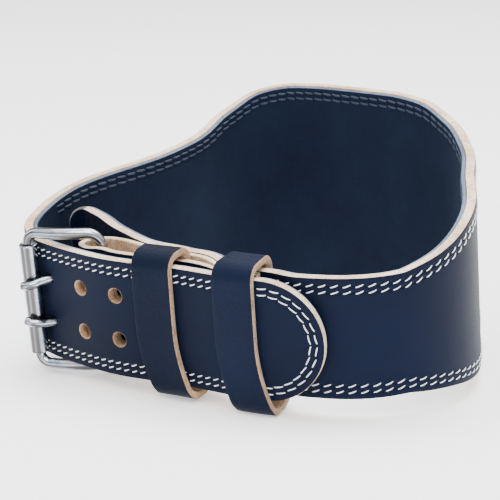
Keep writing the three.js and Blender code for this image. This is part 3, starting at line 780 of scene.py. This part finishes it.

# %% [markdown]
# The punched holes are square windows left out of the grid on both faces. A ring of faces leads
# from each window's border to a circle, over a small worn rim and through the hole's tan wall. The
# two holes that the prongs fill are hardly wider than a prong, and their walls are painted navy as
# painted shade under the prong.

# %% Windows and walls of the holes
def hole_windows(stations):
    """Each hole's place, and the block of the grid that is left out round it."""
    def nearest(values, value):
        return int(np.argmin(np.abs(values - value)))

    windows = []
    for column in hole_columns:
        i0, i1 = nearest(stations, column - HOLE_PATCH), nearest(stations, column + HOLE_PATCH)
        for side in (1, -1):
            j0, j1 = sorted(nearest(columns, side * share) for share in (patch_low, patch_high))
            windows.append((column, side * HOLE_ROW_GAP / 2 + HOLE_LIFT, (i0, i1, j0, j1)))
    return windows


def hole_rows(column, thick):
    """Rows through a hole: radius, depth below the face, and the finish."""
    filled = column == hole_at
    radius = PRONG_DIAMETER / 2 + 0.1 if filled else HOLE_DIAMETER / 2
    # painted shade: holes that a prong fills get the dark navy face finish on their walls, not tan
    wall = FACE if filled else WALL
    return [(radius + 0.9, 0, FACE), (radius + 0.35, 0.02, FACE), (radius + 0.1, 0.2, wall),
            (radius, 0.6, wall), (radius, thick * 0.5, wall), (radius, thick - 0.3, wall),
            (radius + 0.3, thick, wall)]


print("holes", len(hole_columns) * 2)


# %% The strip with its edges and holes
def strip_piece(name, near, far, rim, finishes, inset=0.0, lower_rim=0.35, **options):
    """A layer of the strip from one depth to another, with five finishes in the order above."""
    points, along, edge, faces, which = [], [], [], [], []

    def add_points(s, z, depth):
        start = sum(len(p) for p in points)
        s, z = np.ravel(s), np.ravel(z)
        points.append(on_strip(s, z, np.broadcast_to(depth, s.shape)))
        along.append(stitch_count(seam_length(s, z)))
        edge.append(edge_distance(s, z))
        return start + np.arange(len(s))

    outer_s, outer_z = pattern(inset + rim)
    outer = add_points(outer_s, outer_z, near).reshape(grid_shape)
    inner = add_points(*pattern(inset + lower_rim), far).reshape(grid_shape)
    windows = hole_windows(outer_s[:, grid_shape[1] // 2])
    closed = np.ones((grid_shape[0] - 1, grid_shape[1] - 1), bool)
    for _, _, (i0, i1, j0, j1) in windows:
        closed[i0:i1, j0:j1] = False
    i, j = np.nonzero(closed)
    for grid, finish in ((outer, FACE), (inner, INNER)):
        faces += np.stack([grid[i, j], grid[i + 1, j], grid[i + 1, j + 1], grid[i, j + 1]], -1).tolist()
        which += [finish] * len(i)

    rim_at = border(0, grid_shape[0] - 1, 0, grid_shape[1] - 1)
    # painted shade: the edge rows round the free tongue's end take the dark end finish
    edge_finish = np.where(rim_at[0] > grid_shape[0] - TIP_ROWS, END_SHADE, EDGE)
    rings, paint = [outer[rim_at]], []
    for drawn_in, depth, finish in rim_rows(near, far, rim, lower_rim):
        s, z = pattern(inset + drawn_in)
        rings.append(add_points(s[rim_at], z[rim_at], depth))
        paint.append(edge_finish if finish == EDGE else finish)
    sew(faces, which, rings + [inner[rim_at]], paint + [edge_finish])

    for column, row, block in windows:
        frame_at = border(*block)
        ds, dz = outer_s[frame_at] - column, outer_z[frame_at] - row
        size = np.hypot(ds, dz)
        wall = hole_rows(column, far - near)
        rings = [outer[frame_at]]
        for radius, depth, _ in wall:
            rings.append(add_points(column + ds / size * radius, row + dz / size * radius, near + depth))
        sew(faces, which, rings + [inner[frame_at]], [finish for _, _, finish in wall] + [INNER])

    facts = {"along": np.concatenate(along), "edge": np.concatenate(edge)}
    return piece(name, np.concatenate(points), faces, finishes, which, facts, **options)


strip_piece("leather_strip", 0, LEATHER, 0.7, [navy_leather, cut_edge, flesh_side, hole_wall, painted_end_shade],
            stands_for=["belt_leather"], slot="navy_leather")
strip_piece("suede_lining", LEATHER + CLEAR, BELT, 0.25,
            [nap_edge, nap_edge, navy_suede, hole_wall, navy_suede],
            inset=LINING_INSET, stands_for=["belt_lining"], slot="navy_suede")

# %% [markdown]
# ## Stitches
# A flat texture of dashes would look printed. Each stitch is a short piece of thread that dives
# into the leather at both ends. Two rows run along both edges and round the tip. Machine stitches
# lie a few degrees off the line of their row, which gives the rope-like look of the seam.

# %% A short piece of thread
def thread_pieces(starts, ends, depth, lift, radius, sides=6):
    """Arched bits of thread between pairs of places, each sunk at both ends."""
    share = np.array([-0.04, 0.08, 0.28, 0.5, 0.72, 0.92, 1.04])
    rise = np.array([-0.75, 0.15, 0.85, 1.0, 0.85, 0.15, -0.75])
    girth = np.array([0.45, 0.85, 1.0, 1.05, 1.0, 0.85, 0.45])
    turn = np.arange(sides) / sides * 2 * math.pi
    points, faces = [], []
    for (s0, z0), (s1, z1) in zip(starts, ends):
        s = s0 + (s1 - s0) * share
        z = z0 + (z1 - z0) * share
        base = on_strip(s, z, depth * np.ones(len(s)))
        out = on_strip(s, z, depth - lift * np.ones(len(s))) - base
        out = out / np.linalg.norm(out, axis=1)[:, None]
        along = base[-1] - base[0]
        along /= np.linalg.norm(along)
        across = np.cross(out, along)
        centre = base + out * (rise * abs(lift) / 1000)[:, None]
        spoke = (np.cos(turn)[None, :, None] * across[:, None, :]
                 + 0.8 * np.sin(turn)[None, :, None] * out[:, None, :])
        ring = centre[:, None, :] + spoke * (girth * radius / 1000)[:, None, None]
        start = len(points) * sides * len(share)
        points.append(ring.reshape(-1, 3))
        for a in range(start, start + (len(share) - 1) * sides, sides):
            for m in range(sides):
                n = (m + 1) % sides
                faces.append((a + m, a + n, a + sides + n, a + sides + m))
        faces.append(tuple(start + m for m in range(sides))[::-1])
        last = start + (len(share) - 1) * sides
        faces.append(tuple(last + m for m in range(sides)))
    return np.concatenate(points), faces


# %% Where the stitches go
STITCH_SHARE = 0.68
SLANT = math.radians(20)
TIP_SHARE = 0.82
TIP_SLANT = math.radians(7)
PROBE = 0.5

seam_end = (tail - tip_radius + (tip_radius + TONGUE_CORNER - 2 * SEAM_MIDDLE) * math.pi / 2
            + tongue_core)
row_stitches = int(stitch_count(seam_end))


def seam_point(length, distance, side):
    """Place on the pattern at a length along a row that runs a distance from the edge."""
    length = np.asarray(length, float)
    corner = tip_radius - distance
    quarter = corner * math.pi / 2
    angle = np.clip(length / corner, 0, math.pi / 2)
    s = np.where(length < quarter, tip_radius - corner * np.cos(angle), tip_radius + length - quarter)
    end_corner = TONGUE_CORNER - distance
    past = np.clip((s - tail) / end_corner, 0, math.pi / 2)
    down = np.maximum(s - tail - end_corner * math.pi / 2, 0)
    rounded = np.where(s > tail, tail + end_corner * np.sin(past), s)
    z = np.where(length < quarter, corner * np.sin(angle), full_half(rounded) - distance)
    z = np.where(s > tail, tongue_core + end_corner * np.cos(past) - down, z)
    return rounded, z * side


def seam_stitches(distance, side, skip, share, slant):
    """Start and end of each stitch of a row, without those that skip leaves out."""
    own_quarter = (tip_radius - distance) * math.pi / 2
    starts, ends = [], []
    for k in range(row_stitches):
        middle = np.interp(k + 0.5, count_grid, length_grid)
        pitch = np.interp(middle, length_grid, pitch_grid)
        round_tip = middle < seam_quarter
        length = middle * own_quarter / seam_quarter if round_tip else middle + own_quarter - seam_quarter
        s, z = seam_point(length, distance, side)
        if skip(s):
            continue
        s_before, z_before = seam_point(length - PROBE, distance, side)
        s_after, z_after = seam_point(length + PROBE, distance, side)
        run = np.array([s_after - s_before, z_after - z_before])
        run /= np.hypot(*run)
        turn = -side * TIP_SLANT if round_tip else -slant
        cos, sin = math.cos(turn), math.sin(turn)
        reach = pitch * (TIP_SHARE if round_tip else share) / 2
        ds, dz = (run[0] * cos - run[1] * sin) * reach, (run[0] * sin + run[1] * cos) * reach
        starts.append((s - ds, z - dz))
        ends.append((s + ds, z + dz))
    return starts, ends


def seam(skip, share=STITCH_SHARE, slant=SLANT):
    """Starts and ends of the stitches of both rows along both edges."""
    starts, ends = [], []
    for distance in SEAM_ROWS:
        for side in (1, -1):
            row_starts, row_ends = seam_stitches(distance, side, skip, share, slant)
            starts += row_starts
            ends += row_ends
    return starts, ends


print("stitches in a row that goes right round", row_stitches)

# %% [markdown]
# On the grain side the thread is white and lies just above the leather. The free tongue has no
# seam on this side, so the rows stop behind the billet, shortly before the chape's ends.

# %% Stitches on the grain side
THREAD = 0.66
THREAD_LIFT = 0.38

hidden_from = lap_start + chape_end - 4
starts, ends = seam(lambda s: s > hidden_from)
points, faces = thread_pieces(starts, ends, 0.0, THREAD_LIFT, THREAD / 2)
piece("white_stitches", points, faces, [white_thread], slot="navy_leather")
print(len(starts), "stitches on the grain side")

# %% [markdown]
# The same seams show inside the belt. There the thread is dark blue-grey and spreads in the nap,
# so it looks thicker and softer, and the stitches almost join up. The negative lift raises it
# from the inner face.

# %% Stitches on the suede side
SUEDE_THREAD = 1.3
SUEDE_SHARE = 0.84
SUEDE_SLANT = math.radians(6)
SUEDE_LIFT = 0.3
SUEDE_SEAM_FROM = 215

starts, ends = seam(lambda s: s < SUEDE_SEAM_FROM, SUEDE_SHARE, SUEDE_SLANT)
points, faces = thread_pieces(starts, ends, BELT, -SUEDE_LIFT, SUEDE_THREAD / 2)
piece("lining_stitches", points, faces, [blue_thread], slot="navy_suede")
print(len(starts), "stitches on the suede side")

# %% [markdown]
# ## The chape
# The chape is a thinner strap folded round the buckle's bar, with its tan flesh side inside the
# fold. It is swept along its own plan curve, with slots for the prongs.

# %% The chape's route
def lap_station(s):
    """Station of the strip that lies behind a station of the billet."""
    origin = billet.at(s, 0)
    inward = billet.inward(s)
    along = np.array([-inward[1], inward[0]])
    low, high = lap_start, lap_end
    for _ in range(30):
        mid = (low + high) / 2
        if np.dot(strip.at(mid, 0) - origin, along) < 0:
            low = mid
        else:
            high = mid
    return low


def wall_at(s):
    return float(chape_wall(s))


leg_stations = [chape_end + (buckle_keeper_left - chape_end) * k / 9 for k in range(10)]
to_bar = [(2 * buckle_keeper_left + BAR_AT) / 3, (buckle_keeper_left + 2 * BAR_AT) / 3]
front = leg_stations + to_bar
rear = leg_stations + [(3 * buckle_keeper_left + BAR_AT) / 4]
fold = [(0, fold_snug), (fold_snug * 1.5, fold_snug * 0.75), (fold_loose * 1.2, -fold_snug * 0.55),
        (fold_snug * 1.3, -fold_loose * 0.88), (-fold_snug * 0.2, -fold_loose)]
route = [(billet.at(s, front_leg(s) + wall_at(s) / 2), wall_at(s)) for s in front]
route += [(buckle(u, n), CHAPE_WALL) for u, n in fold]
route += [(strip.at(lap_station(s), -CLEAR - wall_at(s) / 2), wall_at(s)) for s in reversed(rear)]
chape_curve = PlanCurve([p for p, _ in route])
chape_walls = cubic(chape_curve.chord, [w for _, w in route])
print("chape is", round(chape_curve.length, 1), "mm long")

# %% [markdown]
# The strap's section is one closed line: across the outer face, over the first edge, back across
# the inner face and over the second edge. Its rows of points are the same at each station, so
# faces join them as in a woven band. A face that lies in a prong's slot is left out, and four
# short walls close the slot's sides.

# %% Section of a strap
ACROSS = 41
EDGE_ROWS = 5
STRAP_CORNER = 0.4
STRAP_CROWN = 0.08


def strap_section(half):
    """Round a strap: height, share of the wall, shift in depth and finish."""
    flat = half - STRAP_CORNER

    def bend(side, share, degrees):
        return [(side * (flat + STRAP_CORNER * math.sin(a)), share,
                 -math.copysign(STRAP_CORNER * (1 - math.cos(a)), share), EDGE) for a in np.radians(degrees)]

    lines = np.linspace(-1, 1, ACROSS)
    section = [(v * flat, -0.5, 0.0, FACE) for v in lines]
    section += bend(1, -0.5, (35, 90)) + [(half + STRAP_CROWN, 0.0, 0.0, EDGE)] + bend(1, 0.5, (90, 35))
    section += [(v * flat, 0.5, 0.0, INNER) for v in lines[::-1]]
    section += bend(-1, 0.5, (35, 90)) + [(-half - STRAP_CROWN, 0.0, 0.0, EDGE)] + bend(-1, -0.5, (90, 35))
    return section


def opposite(j):
    """The row of the inner face that lies behind a row of the outer face."""
    return ACROSS + EDGE_ROWS + (ACROSS - 1 - j)


print("points round the chape's section", len(strap_section(CHAPE_WIDTH / 2)))


# %% A strap swept along a plan curve
def slot_walls(middles, z, count, faces, which, slots):
    """Tan walls between the two faces, round the borders of a slot."""
    def is_open(i, j):
        inside = 0 <= i < len(middles) and 0 <= j < ACROSS - 1
        return inside and slots(middles[i], (z[j] + z[j + 1]) / 2)

    for i in range(len(middles)):
        for j in range(ACROSS - 1):
            if not is_open(i, j):
                continue
            sides = [((i, j), (i + 1, j), (i, j - 1)), ((i, j + 1), (i + 1, j + 1), (i, j + 1)),
                     ((i, j), (i, j + 1), (i - 1, j)), ((i + 1, j), (i + 1, j + 1), (i + 1, j))]
            for (ia, ja), (ib, jb), neighbour in sides:
                if not is_open(*neighbour):
                    faces.append((ia * count + ja, ib * count + jb,
                                  ib * count + opposite(jb), ia * count + opposite(ja)))
                    which.append(EDGE)


def swept_strap(name, curve, walls, width, finishes, slots, step=1.4, **options):
    """A strap with round edges along a plan curve. finishes: outer face, edge, inner face."""
    stations = np.linspace(0, curve.length, round(curve.length / step) + 1)
    middles = (stations[:-1] + stations[1:]) / 2
    wall = walls(curve.parameter(stations))
    z, share, shift, paint = (np.array(column) for column in zip(*strap_section(width / 2)))
    count = len(z)
    depth = share[None, :] * wall[:, None] + shift[None, :]
    plan = curve.at(np.repeat(stations[:, None], count, 1), depth)
    points = stand(plan, np.repeat(z[None, :], len(stations), 0)).reshape(-1, 3)
    faces, which = [], []
    for i, middle in enumerate(middles):
        for j in range(count):
            k = (j + 1) % count
            flat = paint[j] == paint[k] and paint[j] != EDGE
            if flat and slots(middle, (z[j] + z[k]) / 2):
                continue
            faces.append((i * count + j, (i + 1) * count + j, (i + 1) * count + k, i * count + k))
            which.append(paint[j] if paint[j] == paint[k] else EDGE)
    for i in (0, len(stations) - 1):
        for j in range(ACROSS - 1):
            faces.append((i * count + j, i * count + j + 1,
                          i * count + opposite(j + 1), i * count + opposite(j)))
            which.append(EDGE)
    slot_walls(middles, z, count, faces, which, slots)
    return piece(name, points, faces, finishes, which, **options)


# %% The chape with its slots
SLOT_PLAY = 1
SLOT_BEFORE = 4.5
SLOT_AFTER = 3.0

fold_from = chape_curve.length_at_knot(len(front)) - SLOT_BEFORE
fold_to = chape_curve.length_at_knot(len(front) + len(fold) - 1) + SLOT_AFTER


def prong_slot(s, z):
    beside = abs(abs(z - HOLE_LIFT) - HOLE_ROW_GAP / 2)
    return fold_from < s < fold_to and beside < PRONG_DIAMETER / 2 + SLOT_PLAY


swept_strap("chape_strap", chape_curve, chape_walls, CHAPE_WIDTH, [keeper_leather, cut_edge, flesh_side],
            prong_slot, stands_for=["chape"], slot="strap_leather")
print("slots from", round(fold_from, 1), "to", round(fold_to, 1), "mm along the chape")

# %% [markdown]
# ## The keepers
# A keeper is a short band of leather closed into a ring. Its section is followed round the ring
# from the outside face, over a rounded cut edge, to the inside. Leather bent that tightly bulges
# a little between its bends, so the front isn't perfectly flat.

# %% A closed tube of faces
def closed_tube(rings):
    """Points and faces of a row of rings that closes on itself."""
    count, sides = rings.shape[:2]
    faces = []
    for i in range(count):
        n = (i + 1) % count
        for k in range(sides):
            q = (k + 1) % sides
            faces.append((i * sides + k, i * sides + q, n * sides + q, n * sides + k))
    return rings.reshape(-1, 3), faces


# %% Round the keeper
KEEPER_BULGE = 0.5
KEEPER_EDGE = 0.55
ARC_STEPS = 10
STRAIGHT_STEPS = 22

keeper_top = STRAP_WIDTH / 2 + KEEPER_PLAY


def keeper_contour(s, grow, rounding, hang, far_depth):
    """Plan places and heights round the ring, its lower end pushed towards the tip."""
    bottom = -keeper_top - hang
    high, low = keeper_top + grow - rounding, bottom - grow + rounding
    corners = [(1, high, 0), (0, high, 90), (0, low, 180), (1, low, 270)]
    path = []
    for index, (behind, z, start) in enumerate(corners):
        for angle in np.radians(start + 90 * np.arange(ARC_STEPS + 1) / ARC_STEPS):
            path.append((behind, rounding * math.cos(angle), z + rounding * math.sin(angle)))
        next_behind, next_z, next_start = corners[(index + 1) % 4]
        angle = math.radians(next_start)
        after = next_behind, rounding * math.cos(angle), next_z + rounding * math.sin(angle)
        path += list(np.linspace(path[-1], after, STRAIGHT_STEPS + 1)[1:-1])
    behind, turn, z = np.array(path).T
    at = s - KEEPER_SKEW * np.clip(z / bottom, 0, 1) ** 2
    near = -KEEPER_EASE - grow + rounding
    far = far_depth(at) + grow - rounding
    bulge = KEEPER_BULGE * (1 - behind) * np.cos(np.clip(z / high, -1, 1) * math.pi / 2)
    return billet.at(at, near + (far - near) * behind + turn - bulge), z


def keeper_section():
    """Across a keeper: place along the billet, share of the wall and finish."""
    half = KEEPER_WIDTH / 2
    flat = half - KEEPER_EDGE
    across = np.linspace(-1, 1, 13)
    bend = [(flat + KEEPER_EDGE * math.sin(a), 1 - KEEPER_EDGE / KEEPER_WALL * (1 - math.cos(a)), a)
            for a in np.radians((30, 60, 90))]
    section = [(v * flat, 1.0, FACE) for v in across]
    section += [(along, share, FACE) for along, share, _ in bend]
    section += [(half + 0.05, 0.5, EDGE), (half, 0.1, EDGE)]
    section += [(v * (half - 0.25), 0.0, INNER) for v in across[::-1]]
    section += [(-half, 0.1, EDGE), (-half - 0.05, 0.5, EDGE)]
    section += [(-along, share, EDGE if a > 0.7 else FACE) for along, share, a in bend[::-1]]
    return section


print("points round a keeper's section", len(keeper_section()))


# %% Keepers
def keeper_piece(name, centre, hang, far_depth, node):
    inner_round = KEEPER_ROUND - KEEPER_WALL
    section = keeper_section()
    rings = []
    for along, share, _ in section:
        rounding = inner_round + (KEEPER_ROUND - inner_round) * share
        rings.append(stand(*keeper_contour(centre + along, KEEPER_WALL * share, rounding, hang, far_depth)))
    points, faces = closed_tube(np.array(rings))
    which = []
    for (_, _, finish), (_, _, following) in zip(section, section[1:] + section[:1]):
        edge = {finish, following} == {EDGE, INNER}
        which += [EDGE if edge else max(finish, following)] * len(rings[0])
    return piece(name, points, faces, [keeper_leather, keeper_edge, flesh_side], which,
                 stands_for=[node], slot="strap_leather")


def keeper_leg(s):
    return front_leg(s) + chape_wall(s) + KEEPER_EASE


lap_table = np.linspace(0, buckle_keeper_left, 120)
lap_depths = [float(np.hypot(*(strip.at(lap_station(s), 0) - billet.at(s, 0)))) for s in lap_table]


def tip_keeper_depth(s):
    return np.interp(s, lap_table, lap_depths) + BELT + KEEPER_EASE


keeper_piece("buckle_side_keeper", BUCKLE_KEEPER_AT, BUCKLE_KEEPER_HANG, keeper_leg, "keeper_buckle_side")
keeper_piece("tip_side_keeper", TIP_KEEPER_AT, TIP_KEEPER_HANG, tip_keeper_depth, "keeper_tip_side")

# %% [markdown]
# ## The buckle
# The frame is one bent rod: a back bar inside the chape, two arms that bulge away from the waist,
# and a front bar inside the roller. A closed route with many points and twenty sides round it
# gives clean reflections, which matter more on polished metal than on anything else here.

# %% Frame
frame_half = STRAP_WIDTH / 2 + FRAME_SIDE_PLAY + FRAME_FLAT / 2


def frame_rings(sides=20, corner_steps=12, arm_steps=24, bar_steps=20):
    corners = [(buckle_reach - ROLLER_CORNER, frame_half - ROLLER_CORNER, 0, ROLLER_CORNER),
               (FRAME_CORNER, frame_half - FRAME_CORNER, 90, FRAME_CORNER),
               (FRAME_CORNER, FRAME_CORNER - frame_half, 180, FRAME_CORNER),
               (buckle_reach - ROLLER_CORNER, ROLLER_CORNER - frame_half, 270, ROLLER_CORNER)]
    way = []
    for index, (u, z, start, radius) in enumerate(corners):
        for angle in np.radians(start + 90 * np.arange(corner_steps + 1) / corner_steps):
            way.append((u + radius * math.cos(angle), z + radius * math.sin(angle)))
        u_next, z_next, start_next, radius_next = corners[(index + 1) % 4]
        angle = math.radians(start_next)
        after = (u_next + radius_next * math.cos(angle), z_next + radius_next * math.sin(angle))
        steps = arm_steps if z * z_next > 0 else bar_steps
        way += list(np.linspace(way[-1], after, steps + 1)[1:-1])
    way = np.array(way)
    along = np.roll(way, -1, 0) - np.roll(way, 1, 0)
    along /= np.hypot(*along.T)[:, None]
    swell = np.sin(math.pi * np.clip(way[:, 0] / buckle_reach, 0, 1))
    thick = FRAME_ROD / 2
    wide = thick + (FRAME_FLAT - FRAME_ROD) / 2 * swell
    angle = np.arange(sides) / sides * 2 * math.pi
    side = wide[:, None] * np.cos(angle)[None, :]
    u = way[:, :1] + along[:, 1:] * side
    z = way[:, 1:] - along[:, :1] * side
    n = FRAME_ARCH * swell[:, None] + thick * np.sin(angle)[None, :]
    return stand(buckle(u, n), z + FRAME_LIFT)


points, faces = closed_tube(frame_rings())
piece("bent_frame", points, faces, [nickel], stands_for=["buckle_frame"], slot="nickel")

# %% [markdown]
# The roller is a tube turned on the front bar, so its outline is drawn once and spun.

# %% Roller
ROLLER_LIP = 0.6
BORE_BEVEL = 0.3
ROLLER_FLAT_FROM = 1.5


def spun(profile, centre, sides=40):
    turn = np.arange(sides) / sides * 2 * math.pi
    rings = []
    for radius, z in profile:
        plan = centre + radius * np.stack([np.cos(turn), np.sin(turn)], -1)
        rings.append(stand(plan, np.full(sides, z + FRAME_LIFT)))
    return closed_tube(np.array(rings))


def roller_profile():
    """Radius and height along the tube's wall: up the bore, over the lip and down the outside."""
    half = frame_half - ROLLER_CORNER - CLEAR
    outer, inner = ROLLER_DIAMETER / 2, ROLLER_BORE / 2
    lip = [(outer - ROLLER_LIP + ROLLER_LIP * math.sin(a), half - ROLLER_LIP + ROLLER_LIP * math.cos(a))
           for a in np.radians((10, 35, 60, 90))]
    profile = [(inner, z) for z in np.linspace(BORE_BEVEL - half, half - BORE_BEVEL, 6)]
    profile += [(inner + BORE_BEVEL, half)] + lip
    profile += [(outer, z) for z in np.linspace(half - ROLLER_FLAT_FROM, ROLLER_FLAT_FROM - half, 16)]
    profile += [(radius, -z) for radius, z in lip[::-1]]
    return profile + [(inner + BORE_BEVEL, -half)]


points, faces = spun(roller_profile(), roller_centre)
piece("roller_tube", points, faces, [nickel], stands_for=["buckle_roller"], slot="nickel")

# %% [markdown]
# Each prong is bent rod too: an open eye round the bar, up through the billet's hole, and over the
# roller, where its end is rounded off. A centripetal curve passes through all the points of its
# way without a loop or an overshoot at the tight bends.

# %% The way of a prong
EYE_POINTS = 10
EYE_FROM = 5
EYE_TURN = 265
OVER_ROLLER = (142, 115, 90, 62)


def prong_points(side):
    row = side * HOLE_ROW_GAP / 2 + HOLE_LIFT
    end = side * (HOLE_ROW_GAP / 2 - PRONG_CLOSE) + HOLE_LIFT
    way = []
    for angle in np.radians(EYE_FROM + EYE_TURN * np.arange(EYE_POINTS) / (EYE_POINTS - 1)):
        way.append((*buckle(eye_radius * math.cos(angle), eye_radius * math.sin(angle)), row))
    for depth in (BELT + CLEAR, BELT / 2, 0):
        way.append((*billet.at(hole_at, depth), row))
    over = ROLLER_DIAMETER / 2 + 1.5 * CLEAR + PRONG_DIAMETER / 2
    for degrees in OVER_ROLLER:
        angle = math.radians(degrees)
        z = row + (end - row) * (1 - (degrees - OVER_ROLLER[-1]) / 100)
        way.append((*buckle(buckle_reach + over * math.cos(angle), over * math.sin(angle)), z))
    return np.array(way)


def part_way(p, q, t_p, t_q, t):
    return p * (t_q - t) / (t_q - t_p) + q * (t - t_p) / (t_q - t_p)


def smooth_way(way, per_span=8):
    """A centripetal curve through the points, sampled evenly in each span."""
    knots = np.vstack([2 * way[0] - way[1], way, 2 * way[-1] - way[-2]])
    result = []
    for k in range(1, len(knots) - 2):
        p = knots[k - 1:k + 3]
        gaps = np.sqrt(np.linalg.norm(np.diff(p, axis=0), axis=1))
        t = np.concatenate([[0], np.cumsum(gaps)])
        for u in np.linspace(t[1], t[2], per_span + 1)[:-1]:
            a = [part_way(p[i], p[i + 1], t[i], t[i + 1], u) for i in range(3)]
            b = [part_way(a[i], a[i + 1], t[i], t[i + 2], u) for i in range(2)]
            result.append(part_way(b[0], b[1], t[1], t[2], u))
    return np.array(result + [way[-1]])


spans = np.diff(smooth_way(prong_points(1)), axis=0)
print("a prong's rod is", round(float(np.linalg.norm(spans, axis=1).sum()), 1), "mm long")


# %% Prongs
def round_rod(way, radius, sides=16):
    """A rod along a smooth way, with both ends rounded off."""
    along = np.gradient(way, axis=0)
    along /= np.linalg.norm(along, axis=1)[:, None]
    across = np.cross(along, np.array([0.0, 0.0, 1.0]))
    across /= np.linalg.norm(across, axis=1)[:, None]
    other = np.cross(along, across)
    travelled = np.concatenate([[0], np.cumsum(np.linalg.norm(np.diff(way, axis=0), axis=1))])
    length = travelled[-1]

    def at(station, values):
        return np.array([np.interp(station, travelled, values[:, i]) for i in range(3)])

    nose = [(0.0, 0.25), (0.15, 0.62), (0.4, 0.86), (0.8, 0.97)]
    stops = nose + [(d, 1.0) for d in np.linspace(1.4, length - 1.4, len(way))]
    stops += [(length - d, size) for d, size in nose[::-1]]
    turn = np.arange(sides) / sides * 2 * math.pi
    rings = []
    for station, size in stops:
        spoke = np.cos(turn)[:, None] * at(station, across) + np.sin(turn)[:, None] * at(station, other)
        ring = at(station, way) + radius * size * spoke
        rings.append(stand(ring[:, :2], ring[:, 2]))
    faces = []
    for i in range(len(rings) - 1):
        for k in range(sides):
            q = (k + 1) % sides
            faces.append((i * sides + k, i * sides + q, (i + 1) * sides + q, (i + 1) * sides + k))
    faces.append(tuple(range(sides))[::-1])
    faces.append(tuple((len(rings) - 1) * sides + k for k in range(sides)))
    return np.concatenate(rings), faces


for side, name, node in ((1, "upper_prong", "prong_upper"), (-1, "lower_prong", "prong_lower")):
    points, faces = round_rod(smooth_way(prong_points(side)), PRONG_DIAMETER / 2)
    piece(name, points, faces, [nickel], stands_for=[node], slot="nickel")

# %% [markdown]
# ## Floor and light
# The photo has a white ground and soft light with hardly a shadow. So the floor is pale and glows a
# little, and three large lamps shine from above and in front, from the buckle's side and from
# overhead. The sky is darker near the horizon, which gives the leather's upright faces their depth.

# %% Floor
FLOOR_REACH = 60.0
FLOOR_SHADE = 252
FLOOR_GLOW = 0.6
FLOOR_DROP = 0.0002


def plain_finish(name, shade, glow):
    finish, tree, shader = new_finish(name)
    where = add_node(tree, "ShaderNodeTexCoord").outputs["Object"]
    soft = noise(tree, where, 3, 2)
    base = blend_colours(tree, soft, colour(shade, shade, shade), colour(shade + 2, shade + 2, shade + 2))
    tree.links.new(base, shader.inputs["Base Color"])
    shader.inputs["Roughness"].default_value = 0.9
    shader.inputs["Emission Color"].default_value = (1.0, 1.0, 1.0, 1.0)
    shader.inputs["Emission Strength"].default_value = glow
    return finish


floor_mesh = bpy.data.meshes.new("floor")
floor_corners = [(x * FLOOR_REACH, y * FLOOR_REACH, 0) for x, y in ((-1, -1), (1, -1), (1, 1), (-1, 1))]
floor_mesh.from_pydata(floor_corners, [], [(0, 1, 2, 3)])
floor_mesh.materials.append(plain_finish("pale_floor", FLOOR_SHADE, FLOOR_GLOW))
floor = bpy.data.objects.new("floor", floor_mesh)
bpy.context.scene.collection.objects.link(floor)
floor.location.z = -FLOOR_DROP
print("floor", 2 * FLOOR_REACH, "m wide")

# %% Sky and lamps
HORIZON = (0.10, 0.11, 0.13, 1.0)
ZENITH = (1.0, 1.0, 1.0, 1.0)
BRIGHT_FROM = 0.75
SKY_STRENGTH = 1.6
LAMPS_AIM = Vector((0, 0, 0.05))

world = bpy.data.worlds.new("studio")
bpy.context.scene.world = world
world.use_nodes = True
sky = world.node_tree
direction = add_node(sky, "ShaderNodeTexCoord").outputs["Generated"]
height = add_node(sky, "ShaderNodeSeparateXYZ", Vector=direction).outputs["Z"]
glow = blend_colours(sky, between(sky, height, 0.0, BRIGHT_FROM), HORIZON, ZENITH)
sky.links.new(glow, sky.nodes["Background"].inputs["Color"])
sky.nodes["Background"].inputs["Strength"].default_value = SKY_STRENGTH


def soft_light(name, place, size, power):
    lamp = bpy.data.lights.new(name, "AREA")
    lamp.shape = "RECTANGLE"
    lamp.size, lamp.size_y = size
    lamp.energy = power
    thing = bpy.data.objects.new(name, lamp)
    bpy.context.scene.collection.objects.link(thing)
    thing.location = place
    thing.rotation_euler = (LAMPS_AIM - Vector(place)).to_track_quat("-Z", "Y").to_euler()
    print(name, "light", power, "W")


soft_light("key", (0.5, -1.3, 1.3), (1.2, 0.9), 23)
soft_light("fill", (-1.6, -0.6, 0.8), (0.5, 1.2), 10)
soft_light("top", (0.1, 0.3, 1.8), (1.6, 1.6), 78)

# %% [markdown]
# ## Measure and finish
# Last, the triangles of all the new pieces are counted.

# %% Measure and finish
print("triangles in all", sum(len(p.vertices) - 2 for thing in made for p in thing.data.polygons))
